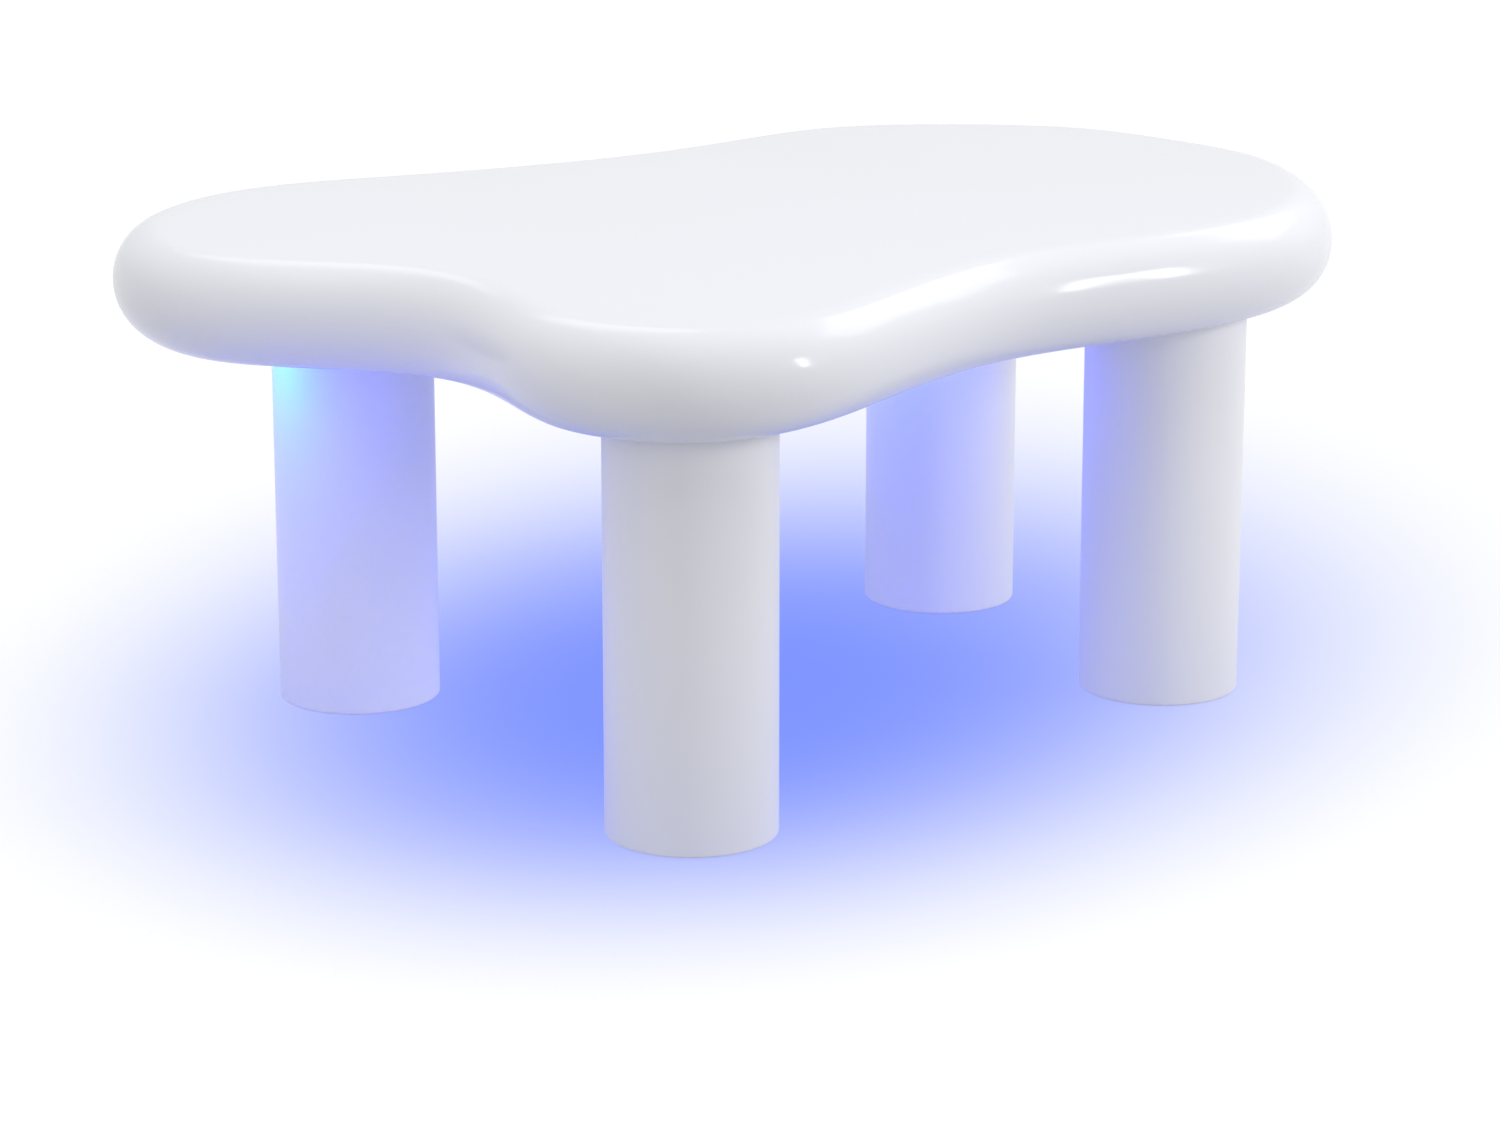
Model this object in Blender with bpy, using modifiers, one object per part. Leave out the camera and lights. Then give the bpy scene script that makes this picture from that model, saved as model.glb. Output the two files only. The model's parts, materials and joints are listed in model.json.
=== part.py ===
"""Light-up cloud table: a hollow lacquered top on four round columns, lit from a loop in its underside.

Metres, +Z up. The origin is on the floor, under the middle of the top. +X runs along the table and +Y to its
back. Places given as shares are multiplied by the table's length in X and its width in Y.
"""

import math
from typing import NamedTuple

import bmesh
import bpy
import numpy as np
from mathutils import Matrix, Vector

# Whole table
TABLE_LENGTH = 0.965
TABLE_WIDTH = 0.737
TABLE_HEIGHT = 0.400
SEAT_GAP = 0.0003
CUT_OVERRUN = 0.004
WELD_DISTANCE = 0.00001
SMOOTH_ANGLE = math.radians(35)

# Tabletop
TOP_THICKNESS = 0.083
RIM_DEPTH = 0.033
TOP_SKIN = 0.020
PANEL_THICKNESS = 0.012
PANEL_INSET = 0.046
LEDGE_WIDTH = 0.016
OUTLINE_COUNT = 100
RIM_RESOLUTION = 4
OUTLINE_SHARES = (
    (0.500, -0.070), (0.484, 0.062), (0.410, 0.200), (0.305, 0.296), (0.175, 0.318),
    (0.050, 0.348), (-0.085, 0.415), (-0.195, 0.481), (-0.300, 0.499), (-0.405, 0.446),
    (-0.477, 0.336), (-0.500, 0.205), (-0.464, 0.085), (-0.420, -0.035), (-0.443, -0.170),
    (-0.474, -0.300), (-0.436, -0.433), (-0.333, -0.490), (-0.200, -0.464), (-0.060, -0.440),
    (0.065, -0.470), (0.200, -0.500), (0.335, -0.456), (0.443, -0.330), (0.491, -0.205),
)

# Ribs in the hollow: one along the table at a share of its width, four across it at shares of its length
RIB_THICKNESS = 0.016
RIB_END_GAP = 0.004
LONG_RIB_SHARE = -0.060
CROSS_RIB_SHARES = {
    "cross_rib_front_left": -0.080,
    "cross_rib_back_left": -0.100,
    "cross_rib_front_right": 0.115,
    "cross_rib_back_right": 0.125,
}

# Panel screws, at shares of the way round the outline
PANEL_SCREW_SHARES = (0.010, 0.150, 0.210, 0.390, 0.470, 0.560, 0.730, 0.920)
PANEL_SCREW_LENGTH = 0.022
SCREW_RADIUS = 0.0020
SCREW_HEAD_RADIUS = 0.0040
SCREW_HEAD_HEIGHT = 0.0024
SCREW_TIP_LENGTH = 0.0030
SCREW_STEPS = 10

# Columns: each stands in from the top's edge by a margin, at a share of the way round it
WAY_COUNT = 10000
BACK_LEFT_SHARE = 0.3027
BACK_LEFT_MARGIN = 0.105
FRONT_LEFT_SHARE = 0.6567
FRONT_LEFT_MARGIN = 0.045
BACK_RIGHT_SHARE = 0.0811
BACK_RIGHT_MARGIN = 0.083
FRONT_RIGHT_SHARE = 0.8431
FRONT_RIGHT_MARGIN = 0.039
COLUMN_STANDS = {
    "back_left": (BACK_LEFT_SHARE, BACK_LEFT_MARGIN),
    "front_left": (FRONT_LEFT_SHARE, FRONT_LEFT_MARGIN),
    "back_right": (BACK_RIGHT_SHARE, BACK_RIGHT_MARGIN),
    "front_right": (FRONT_RIGHT_SHARE, FRONT_RIGHT_MARGIN),
}
COLUMN_RADIUS = 0.065
COLUMN_WALL = 0.006
COLUMN_FLOOR_GAP = 0.001
COLUMN_EDGE = 0.001
COLUMN_STEPS = 40
TOP_PLUG_THICKNESS = 0.018
FOOT_PLUG_THICKNESS = 0.015
FOOT_PAD_THICKNESS = 0.003
FOOT_PAD_MARGIN = 0.002
BOLT_RADIUS = 0.004
BOLT_HEAD_RADIUS = 0.0085
BOLT_HEAD_HEIGHT = 0.0025
BOLT_REACH = 0.018
BOLT_TIP = 0.001
BOLT_STEPS = 12
BLOCK_RADIUS = 0.040
BLOCK_STEPS = 24
INSERT_WALL = 0.0025
INSERT_LENGTH = 0.020
INSERT_COLLAR_RADIUS = 0.0095
INSERT_COLLAR_HEIGHT = 0.0015

# Light: its loop passes outside the back left column, where there is room, and inside the other three
LIGHT_LOOP_SHARES = (
    (0.206, -0.027), (0.196, 0.090), (0.150, 0.172), (0.062, 0.218), (-0.050, 0.268),
    (-0.155, 0.337), (-0.262, 0.394), (-0.347, 0.370), (-0.392, 0.275), (-0.378, 0.149),
    (-0.343, 0.027), (-0.311, -0.095), (-0.286, -0.204), (-0.230, -0.285), (-0.142, -0.328),
    (-0.041, -0.334), (0.052, -0.302), (0.126, -0.231), (0.182, -0.140),
)
LIGHT_LOOP_COUNT = 68
STRIP_START_SHARE = 0.175
STRIP_BREAK_COUNT = 1
GROOVE_WIDTH = 0.014
GROOVE_DEPTH = 0.008
CHANNEL_WALL = 0.0015
STRIP_WIDTH = 0.0080
STRIP_THICKNESS = 0.0018
DIFFUSER_PROUD = 0.0025
DIFFUSER_SHOULDER = 0.0018

# Controller, hung under the panel with its keys facing down
CONTROLLER_PLACE_SHARES = (0.062, 0.160)
CASE_LENGTH = 0.078
CASE_WIDTH = 0.034
CASE_HEIGHT = 0.015
CASE_WALL = 0.0018
CASE_CORNER = 0.003
CASE_CORNER_SEGMENTS = 2
BASE_THICKNESS = 0.002
EAR_LENGTH = 0.010
CONTROLLER_SCREW_LENGTH = 0.010
BOARD_THICKNESS = 0.0016
BOARD_HEADROOM = 0.0025
BOARD_LEDGE = 0.0015
KEY_PITCH = 0.016
KEY_INLET_GAP = 0.0049
SWITCH_SIDE = 0.006
SWITCH_HEIGHT = 0.0035
SWITCH_STEM_RADIUS = 0.0016
SWITCH_STEM_HEIGHT = 0.0008
KEY_TRAVEL = 0.0008
KEY_RADIUS = 0.004
KEY_FLANGE = 0.001
KEY_FLANGE_THICKNESS = 0.0012
KEY_POST_RADIUS = 0.0015
KEY_PROUD = 0.0012
KEY_EDGE = 0.0004
KEY_CLEARANCE = 0.0003
KEY_STEPS = 16
INLET_LENGTH = 0.013
INLET_WIDTH = 0.009
INLET_HEIGHT = 0.008
INLET_BORE_RADIUS = 0.0029
INLET_PIN_RADIUS = 0.0010
INLET_BORE_DEPTH = 0.009
INLET_WINDOW_CLEARANCE = 0.0006
INLET_STEPS = 12

# Lead from the controller to the strip, through the hollow of the top
LEAD_RADIUS = 0.0018
LEAD_HOLE_CLEARANCE = 0.0010
LEAD_END_MARGIN = 0.009
LEAD_ARCH_HEIGHT = 0.022
LEAD_ARCH_COUNT = 11
LEAD_RESOLUTION = 2

UNDERSIDE = TABLE_HEIGHT - TOP_THICKNESS
PANEL_TOP = UNDERSIDE + PANEL_THICKNESS
HOLLOW_LOW = PANEL_TOP + SEAT_GAP
HOLLOW_TOP = TABLE_HEIGHT - TOP_SKIN
COLUMN_TOP = UNDERSIDE - SEAT_GAP
COLUMN_BORE = COLUMN_RADIUS - COLUMN_WALL
GROOVE_TOP = UNDERSIDE + GROOVE_DEPTH
CHANNEL_TOP = GROOVE_TOP - SEAT_GAP
STRIP_TOP = CHANNEL_TOP - CHANNEL_WALL - SEAT_GAP
BASE_TOP = UNDERSIDE - SEAT_GAP
CASE_TOP = BASE_TOP - BASE_THICKNESS - SEAT_GAP
CASE_LOW = CASE_TOP - CASE_HEIGHT
CASE_FLOOR = CASE_LOW + CASE_WALL
BOARD_TOP = CASE_TOP - BOARD_HEADROOM
BOARD_LOW = BOARD_TOP - BOARD_THICKNESS
SWITCH_TOP = BOARD_LOW - SEAT_GAP
SWITCH_STEM_LOW = SWITCH_TOP - SWITCH_HEIGHT - SWITCH_STEM_HEIGHT

PARTS = "light_up_cloud_table"
CUTTERS = "cutters"


class Finish(NamedTuple):
    """What a piece is made of, as it looks."""

    name: str
    color: tuple
    roughness: float
    metallic: float = 0
    glow: float = 0


GLOSS_LACQUER = Finish("gloss_white_lacquer", (0.90, 0.91, 0.93), 0.12)
SATIN_LACQUER = Finish("satin_white_lacquer", (0.82, 0.82, 0.84), 0.42)
UNDERSIDE_PAINT = Finish("underside_paint", (0.80, 0.80, 0.80), 0.60)
FIBREBOARD = Finish("bare_fibreboard", (0.46, 0.33, 0.21), 0.85)
ZINC_STEEL = Finish("zinc_plated_steel", (0.62, 0.63, 0.65), 0.32, metallic=1)
BRASS = Finish("brass", (0.72, 0.55, 0.28), 0.35, metallic=1)
FOOT_FOAM = Finish("foot_foam", (0.55, 0.55, 0.56), 0.90)
SILICONE = Finish("white_silicone", (0.85, 0.85, 0.87), 0.50)
STRIP_FILM = Finish("strip_film", (0.88, 0.88, 0.84), 0.45)
LIT_DIFFUSER = Finish("lit_diffuser", (0.30, 0.34, 1.00), 0.40, glow=6)
CASE_PLASTIC = Finish("white_case_plastic", (0.80, 0.80, 0.80), 0.38)
KEY_PLASTIC = Finish("grey_key_plastic", (0.30, 0.31, 0.33), 0.45)
BOARD_LAMINATE = Finish("board_laminate", (0.03, 0.20, 0.10), 0.40)
BLACK_PLASTIC = Finish("black_plastic", (0.03, 0.03, 0.03), 0.40)
LEAD_SHEATH = Finish("lead_sheath", (0.75, 0.75, 0.76), 0.50)


def clear_scene():
    """Empties the scene of the objects it starts with."""
    for obj in list(bpy.data.objects):
        bpy.data.objects.remove(obj, do_unlink=True)


def collection(name):
    """The scene's collection of this name, made when it is first asked for."""
    if name not in bpy.data.collections:
        bpy.context.scene.collection.children.link(bpy.data.collections.new(name))
    return bpy.data.collections[name]


def shown(finish):
    """The material of a finish, made when it is first asked for."""
    if finish.name in bpy.data.materials:
        return bpy.data.materials[finish.name]
    material = bpy.data.materials.new(finish.name)
    material.use_nodes = True
    shader = material.node_tree.nodes["Principled BSDF"]
    shader.inputs["Base Color"].default_value = (*finish.color, 1)
    shader.inputs["Roughness"].default_value = finish.roughness
    shader.inputs["Metallic"].default_value = finish.metallic
    shader.inputs["Emission Color"].default_value = (*finish.color, 1)
    shader.inputs["Emission Strength"].default_value = finish.glow
    return material


def smooth_shaded(mesh):
    """Shades the round faces smooth and keeps the corners sharp."""
    mesh.shade_smooth()
    mesh.set_sharp_from_angle(angle=SMOOTH_ANGLE)
    return mesh


def welded(mesh):
    """Joins the points that a curve's caps or a turned profile leave loose, and turns the faces outwards."""
    work = bmesh.new()
    work.from_mesh(mesh)
    bmesh.ops.remove_doubles(work, verts=work.verts, dist=WELD_DISTANCE)
    bmesh.ops.recalc_face_normals(work, faces=work.faces)
    work.to_mesh(mesh)
    work.free()
    return mesh


def baked(obj):
    """The evaluated mesh of an object, with its place applied. The object goes."""
    bpy.context.view_layer.update()
    graph = bpy.context.evaluated_depsgraph_get()
    mesh = bpy.data.meshes.new_from_object(obj.evaluated_get(graph))
    mesh.transform(obj.matrix_world)
    mesh.name = obj.name
    bpy.data.objects.remove(obj, do_unlink=True)
    return welded(mesh)


def piece(name, mesh, finish, place=(0, 0, 0)):
    """A named part of the table."""
    obj = bpy.data.objects.new(name, smooth_shaded(mesh))
    if not mesh.materials:
        mesh.materials.append(shown(finish))
    obj.location = place
    collection(PARTS).objects.link(obj)
    return obj


def combine(obj, mesh, operation, place):
    """Puts a Boolean with the mesh on the object."""
    tool = bpy.data.objects.new(f"{obj.name}_{operation.lower()}", mesh)
    tool.location = place
    tool.hide_render = True
    tool.display_type = "WIRE"
    collection(CUTTERS).objects.link(tool)
    boolean = obj.modifiers.new(operation.lower(), "BOOLEAN")
    boolean.operation = operation
    boolean.solver = "EXACT"
    boolean.object = tool


def cut(obj, mesh):
    """Takes the mesh out of the object."""
    combine(obj, mesh, "DIFFERENCE", (0, 0, 0))


def join(obj, mesh, place):
    """Adds the mesh, moved to the place, to the object."""
    combine(obj, mesh, "UNION", place)


def copies(mesh, places):
    """One mesh with a copy of the given one at each place."""
    work = bmesh.new()
    for place in places:
        first = len(work.verts)
        work.from_mesh(mesh)
        work.verts.ensure_lookup_table()
        bmesh.ops.translate(work, verts=work.verts[first:], vec=Vector(place))
    joined = bpy.data.meshes.new(f"{mesh.name}_copies")
    work.to_mesh(joined)
    work.free()
    return joined


def box_mesh(name, low, high):
    """A box between two opposite corners."""
    low = Vector(low)
    high = Vector(high)
    work = bmesh.new()
    bmesh.ops.create_cube(work, size=1)
    bmesh.ops.scale(work, verts=work.verts, vec=high - low)
    bmesh.ops.translate(work, verts=work.verts, vec=(low + high) / 2)
    mesh = bpy.data.meshes.new(name)
    work.to_mesh(mesh)
    work.free()
    return mesh


def rounded_box_mesh(name, low, high, radius):
    """A box whose four upright edges are rounded by a Bevel."""
    obj = bpy.data.objects.new(name, box_mesh(name, low, high))
    collection(PARTS).objects.link(obj)
    upright = obj.data.attributes.new("bevel_weight_edge", "FLOAT", "EDGE")
    for edge in obj.data.edges:
        ends = [obj.data.vertices[index].co for index in edge.vertices]
        upright.data[edge.index].value = float(abs(ends[0].z - ends[1].z) > radius)
    bevel = obj.modifiers.new("corners", "BEVEL")
    bevel.limit_method = "WEIGHT"
    bevel.width = radius
    bevel.segments = CASE_CORNER_SEGMENTS
    return baked(obj)


def turned_mesh(name, profile, steps, ring=False):
    """A profile of (radius, height) points turned about Z. Each profile runs down its outer side."""
    count = len(profile)
    edges = [(index, index + 1) for index in range(count - 1)]
    if ring:
        edges.append((count - 1, 0))
    mesh = bpy.data.meshes.new(name)
    mesh.from_pydata([(radius, 0, height) for radius, height in profile], edges, [])
    obj = bpy.data.objects.new(name, mesh)
    collection(PARTS).objects.link(obj)
    screw = obj.modifiers.new("turn", "SCREW")
    screw.steps = steps
    screw.render_steps = steps
    screw.use_merge_vertices = True
    screw.merge_threshold = WELD_DISTANCE
    return baked(obj)


def disc_mesh(name, radius, low, high, steps):
    """An upright cylinder."""
    work = bmesh.new()
    bmesh.ops.create_cone(
        work, cap_ends=True, segments=steps, radius1=radius, radius2=radius, depth=high - low
    )
    bmesh.ops.translate(work, verts=work.verts, vec=(0, 0, (low + high) / 2))
    mesh = bpy.data.meshes.new(name)
    work.to_mesh(mesh)
    work.free()
    return mesh


def ring_mesh(name, outer, inner, low, high, steps):
    """A plain ring or tube."""
    profile = [(inner, high), (outer, high), (outer, low), (inner, low)]
    return turned_mesh(name, profile, steps, ring=True)


def placed(share):
    """A share of the table's length and width as a point on the plan."""
    return np.array(share) * (TABLE_LENGTH, TABLE_WIDTH)


def closed_curve(points, count):
    """A smooth closed curve through the points: cubic pieces whose slope and bend agree where they meet."""
    points = np.array(points, float)
    number = len(points)
    index = np.arange(number)
    matrix = np.zeros((number, number))
    matrix[index, index] = 4
    matrix[index, (index + 1) % number] = 1
    matrix[index, (index - 1) % number] = 1
    slopes = np.linalg.solve(matrix, 3 * (np.roll(points, -1, 0) - np.roll(points, 1, 0)))
    way = np.arange(count) * number / count
    start = way.astype(int)
    end = (start + 1) % number
    part = (way - start)[:, None]
    keep = 2 * part**3 - 3 * part**2 + 1
    lean = part**3 - 2 * part**2 + part
    lean_end = part**3 - part**2
    return keep * points[start] + lean * slopes[start] + (1 - keep) * points[end] + lean_end * slopes[end]


def outward(points):
    """The unit normals of a closed curve that runs anticlockwise."""
    along = np.roll(points, -1, 0) - np.roll(points, 1, 0)
    along = along / np.linalg.norm(along, axis=1)[:, None]
    return np.stack([along[:, 1], -along[:, 0]], 1)


def outline(inset=0.0, count=OUTLINE_COUNT):
    """The tabletop's widest line, moved in by a distance. Its extents are the table's length and width."""
    curve = closed_curve(OUTLINE_SHARES, OUTLINE_COUNT)
    low = curve.min(axis=0)
    high = curve.max(axis=0)
    points = closed_curve(OUTLINE_SHARES, count)
    points = placed((points - (low + high) / 2) / (high - low))
    return points - inset * outward(points)


def flat_curve(name, points):
    """A closed flat outline as a 2D curve object."""
    data = bpy.data.curves.new(name, "CURVE")
    data.dimensions = "2D"
    data.fill_mode = "BOTH"
    spline = data.splines.new("POLY")
    spline.points.add(len(points) - 1)
    for point, (x, y) in zip(spline.points, points):
        point.co = (x, y, 0, 1)
    spline.use_cyclic_u = True
    obj = bpy.data.objects.new(name, data)
    collection(PARTS).objects.link(obj)
    return obj


def slab_mesh(name, points, low, high):
    """A flat outline with a thickness."""
    obj = flat_curve(name, points)
    obj.data.extrude = (high - low) / 2
    obj.location.z = (low + high) / 2
    return baked(obj)


def swept_mesh(name, route, profile, closed=True):
    """A closed profile of (across, up) points carried along a level route."""
    section = flat_curve(f"{name}_section", profile)
    data = bpy.data.curves.new(name, "CURVE")
    data.dimensions = "3D"
    data.twist_mode = "Z_UP"
    data.bevel_mode = "OBJECT"
    data.bevel_object = section
    data.use_fill_caps = True
    spline = data.splines.new("POLY")
    spline.points.add(len(route) - 1)
    for point, (x, y) in zip(spline.points, route):
        point.co = (x, y, 0, 1)
    spline.use_cyclic_u = closed
    obj = bpy.data.objects.new(name, data)
    collection(PARTS).objects.link(obj)
    mesh = baked(obj)
    bpy.data.objects.remove(section, do_unlink=True)
    return mesh


def screw_mesh(length):
    """A countersunk screw whose flat head is at height 0 and whose tip points up."""
    profile = [
        (0, length),
        (SCREW_RADIUS, length - SCREW_TIP_LENGTH),
        (SCREW_RADIUS, SCREW_HEAD_HEIGHT),
        (SCREW_HEAD_RADIUS, 0),
        (0, 0),
    ]
    return turned_mesh("screw", profile, SCREW_STEPS)


def screw_hole_mesh(length, places):
    """The countersunk holes for screws that stand up from the given places."""
    shank = SCREW_RADIUS + SEAT_GAP
    head = SCREW_HEAD_RADIUS + SEAT_GAP
    profile = [
        (0, length + SEAT_GAP),
        (shank, length + SEAT_GAP),
        (shank, SCREW_HEAD_HEIGHT),
        (head, 0),
        (head, -CUT_OVERRUN),
        (0, -CUT_OVERRUN),
    ]
    return copies(turned_mesh("screw_hole", profile, SCREW_STEPS), places)


def panel_screw_places():
    """Where the panel's screws stand, over the middle of the ledge that carries the panel."""
    line = outline(PANEL_INSET + LEDGE_WIDTH / 2)
    indices = [round(share * OUTLINE_COUNT) % OUTLINE_COUNT for share in PANEL_SCREW_SHARES]
    return [(*line[index], UNDERSIDE) for index in indices]


def column_places():
    """Each column's name and the point on the floor under its middle."""
    places = {}
    for name, (share, margin) in COLUMN_STANDS.items():
        line = outline(margin + COLUMN_RADIUS, WAY_COUNT)
        places[name] = (*line[round(share * WAY_COUNT)], 0)
    return places


def light_loop():
    """The closed route of the light, on the plan."""
    return closed_curve([placed(share) for share in LIGHT_LOOP_SHARES], LIGHT_LOOP_COUNT)


def strip_route():
    """The light's route, from the lead's end once round to just before it."""
    start = round(STRIP_START_SHARE * LIGHT_LOOP_COUNT)
    return np.roll(light_loop(), -start, axis=0)[: LIGHT_LOOP_COUNT - STRIP_BREAK_COUNT]


def controller_middle():
    """The middle of the controller, on the plan."""
    return placed(CONTROLLER_PLACE_SHARES)


def lead_start():
    """Where the lead leaves the controller's board, on the plan."""
    return controller_middle() - (CASE_LENGTH / 2 - LEAD_END_MARGIN, 0)


def lead_end():
    """Where the lead meets the strip, on the plan: half way along the strip's first stretch."""
    return strip_route()[:2].mean(axis=0)


def lead_hole_mesh():
    """The two upright holes that the lead goes through."""
    hole = disc_mesh(
        "lead_hole",
        LEAD_RADIUS + LEAD_HOLE_CLEARANCE,
        BASE_TOP - BASE_THICKNESS - CUT_OVERRUN,
        PANEL_TOP + CUT_OVERRUN,
        BOLT_STEPS,
    )
    return copies(hole, [(*lead_start(), 0), (*lead_end(), 0)])


def make_shell():
    """The lacquered top: a slab whose rim is half an ellipse, hollowed below, with a ledge for the panel."""
    curve = flat_curve("tabletop_shell", outline(RIM_DEPTH))
    curve.data.bevel_depth = RIM_DEPTH
    curve.data.bevel_resolution = RIM_RESOLUTION
    curve.scale.z = TOP_THICKNESS / 2 / RIM_DEPTH
    curve.location.z = TABLE_HEIGHT - TOP_THICKNESS / 2
    shell = piece("tabletop_shell", baked(curve), GLOSS_LACQUER)
    rebate = slab_mesh("rebate", outline(PANEL_INSET - SEAT_GAP), UNDERSIDE - CUT_OVERRUN, HOLLOW_LOW)
    hollow = slab_mesh("hollow", outline(PANEL_INSET + LEDGE_WIDTH), UNDERSIDE - CUT_OVERRUN, HOLLOW_TOP)
    cut(shell, rebate)
    cut(shell, hollow)
    cut(shell, screw_hole_mesh(PANEL_SCREW_LENGTH, panel_screw_places()))


def make_panel():
    """The underside panel, flush with the shell's lower face, with the groove for the light."""
    slab = slab_mesh("underside_panel", outline(PANEL_INSET), UNDERSIDE, PANEL_TOP)
    panel = piece("underside_panel", slab, UNDERSIDE_PAINT)
    half = GROOVE_WIDTH / 2
    low = UNDERSIDE - CUT_OVERRUN
    groove = [(-half, low), (half, low), (half, GROOVE_TOP), (-half, GROOVE_TOP)]
    cut(panel, swept_mesh("groove", light_loop(), groove))
    bolt_hole = disc_mesh("bolt_hole", BOLT_RADIUS + SEAT_GAP, low, PANEL_TOP + CUT_OVERRUN, BOLT_STEPS)
    cut(panel, copies(bolt_hole, column_places().values()))
    cut(panel, screw_hole_mesh(PANEL_SCREW_LENGTH, panel_screw_places()))
    pilot_top = BASE_TOP - BASE_THICKNESS + CONTROLLER_SCREW_LENGTH + SEAT_GAP
    pilot = disc_mesh("pilot_hole", SCREW_RADIUS + SEAT_GAP, low, pilot_top, SCREW_STEPS)
    cut(panel, copies(pilot, [(*place, 0) for place in ear_places()]))
    cut(panel, lead_hole_mesh())


def make_panel_screws():
    """The screws that hold the panel to the shell's ledge."""
    mesh = screw_mesh(PANEL_SCREW_LENGTH)
    for number, place in enumerate(panel_screw_places(), 1):
        piece(f"panel_screw_{number}", mesh, ZINC_STEEL, place)


def rib_reach(axis, place, sign):
    """Where a rib along an axis ends: short of the hollow's wall on both of its own sides."""
    line = outline(PANEL_INSET + LEDGE_WIDTH + RIB_END_GAP)
    after = np.roll(line, -1, 0)
    reaches = []
    for side in (place - RIB_THICKNESS / 2, place + RIB_THICKNESS / 2):
        start = line[:, 1 - axis] - side
        end = after[:, 1 - axis] - side
        crossed = start * end < 0
        share = start[crossed] / (start - end)[crossed]
        crossings = line[crossed, axis] + share * (after - line)[crossed, axis]
        reaches.append(max(sign * crossings))
    return sign * min(reaches)


def make_ribs():
    """One rib along the table and four across, which carry the top skin on the panel."""
    middle = LONG_RIB_SHARE * TABLE_WIDTH
    half = RIB_THICKNESS / 2
    top = HOLLOW_TOP - SEAT_GAP
    low = (rib_reach(0, middle, -1), middle - half, HOLLOW_LOW)
    high = (rib_reach(0, middle, 1), middle + half, top)
    piece("long_rib", box_mesh("long_rib", low, high), FIBREBOARD)
    for name, share in CROSS_RIB_SHARES.items():
        x = share * TABLE_LENGTH
        sign = 1 if "back" in name else -1
        near = middle + sign * (half + SEAT_GAP)
        far = rib_reach(1, x, sign)
        low = (x - half, min(near, far), HOLLOW_LOW)
        high = (x + half, max(near, far), top)
        piece(name, box_mesh(name, low, high), FIBREBOARD)


def make_blocks():
    """Over each column, a block between panel and top skin with an insert nut in its lower end."""
    bore = BOLT_RADIUS + SEAT_GAP
    sleeve = bore + INSERT_WALL
    top = HOLLOW_TOP - SEAT_GAP
    low = HOLLOW_LOW
    block = turned_mesh(
        "column_block",
        [
            (sleeve + SEAT_GAP, top),
            (BLOCK_RADIUS, top),
            (BLOCK_RADIUS, low),
            (INSERT_COLLAR_RADIUS + SEAT_GAP, low),
            (INSERT_COLLAR_RADIUS + SEAT_GAP, low + INSERT_COLLAR_HEIGHT + SEAT_GAP),
            (sleeve + SEAT_GAP, low + INSERT_COLLAR_HEIGHT + SEAT_GAP),
        ],
        BLOCK_STEPS,
        ring=True,
    )
    insert = turned_mesh(
        "insert_nut",
        [
            (bore, low + INSERT_LENGTH),
            (sleeve, low + INSERT_LENGTH),
            (sleeve, low + INSERT_COLLAR_HEIGHT),
            (INSERT_COLLAR_RADIUS, low + INSERT_COLLAR_HEIGHT),
            (INSERT_COLLAR_RADIUS, low),
            (bore, low),
        ],
        BOLT_STEPS,
        ring=True,
    )
    for name, place in column_places().items():
        piece(f"{name}_block", block, FIBREBOARD, place)
        piece(f"{name}_insert_nut", insert, BRASS, place)


def make_columns():
    """Each column: a tube closed by two plugs, a bolt that stands out of the upper one, and a foot pad."""
    edge = COLUMN_EDGE
    tube = turned_mesh(
        "column",
        [
            (COLUMN_BORE, COLUMN_TOP),
            (COLUMN_RADIUS, COLUMN_TOP),
            (COLUMN_RADIUS, COLUMN_FLOOR_GAP + edge),
            (COLUMN_RADIUS - edge, COLUMN_FLOOR_GAP),
            (COLUMN_BORE, COLUMN_FLOOR_GAP),
        ],
        COLUMN_STEPS,
        ring=True,
    )
    plug_radius = COLUMN_BORE - SEAT_GAP
    plug_low = COLUMN_TOP - TOP_PLUG_THICKNESS
    top_plug = ring_mesh("top_plug", plug_radius, BOLT_RADIUS + SEAT_GAP, plug_low, COLUMN_TOP, COLUMN_STEPS)
    foot_low = FOOT_PAD_THICKNESS + SEAT_GAP
    foot_plug = disc_mesh("foot_plug", plug_radius, foot_low, foot_low + FOOT_PLUG_THICKNESS, COLUMN_STEPS)
    foot_pad = disc_mesh("foot_pad", COLUMN_BORE - FOOT_PAD_MARGIN, 0, FOOT_PAD_THICKNESS, COLUMN_STEPS)
    head_top = plug_low - SEAT_GAP
    bolt_top = HOLLOW_LOW + BOLT_REACH
    bolt = turned_mesh(
        "column_bolt",
        [
            (0, bolt_top),
            (BOLT_RADIUS - BOLT_TIP, bolt_top),
            (BOLT_RADIUS, bolt_top - BOLT_TIP),
            (BOLT_RADIUS, head_top),
            (BOLT_HEAD_RADIUS, head_top),
            (BOLT_HEAD_RADIUS, head_top - BOLT_HEAD_HEIGHT),
            (0, head_top - BOLT_HEAD_HEIGHT),
        ],
        BOLT_STEPS,
    )
    for name, place in column_places().items():
        piece(f"{name}_column", tube, SATIN_LACQUER, place)
        piece(f"{name}_top_plug", top_plug, FIBREBOARD, place)
        piece(f"{name}_foot_plug", foot_plug, FIBREBOARD, place)
        piece(f"{name}_foot_pad", foot_pad, FOOT_FOAM, place)
        piece(f"{name}_bolt", bolt, ZINC_STEEL, place)


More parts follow.
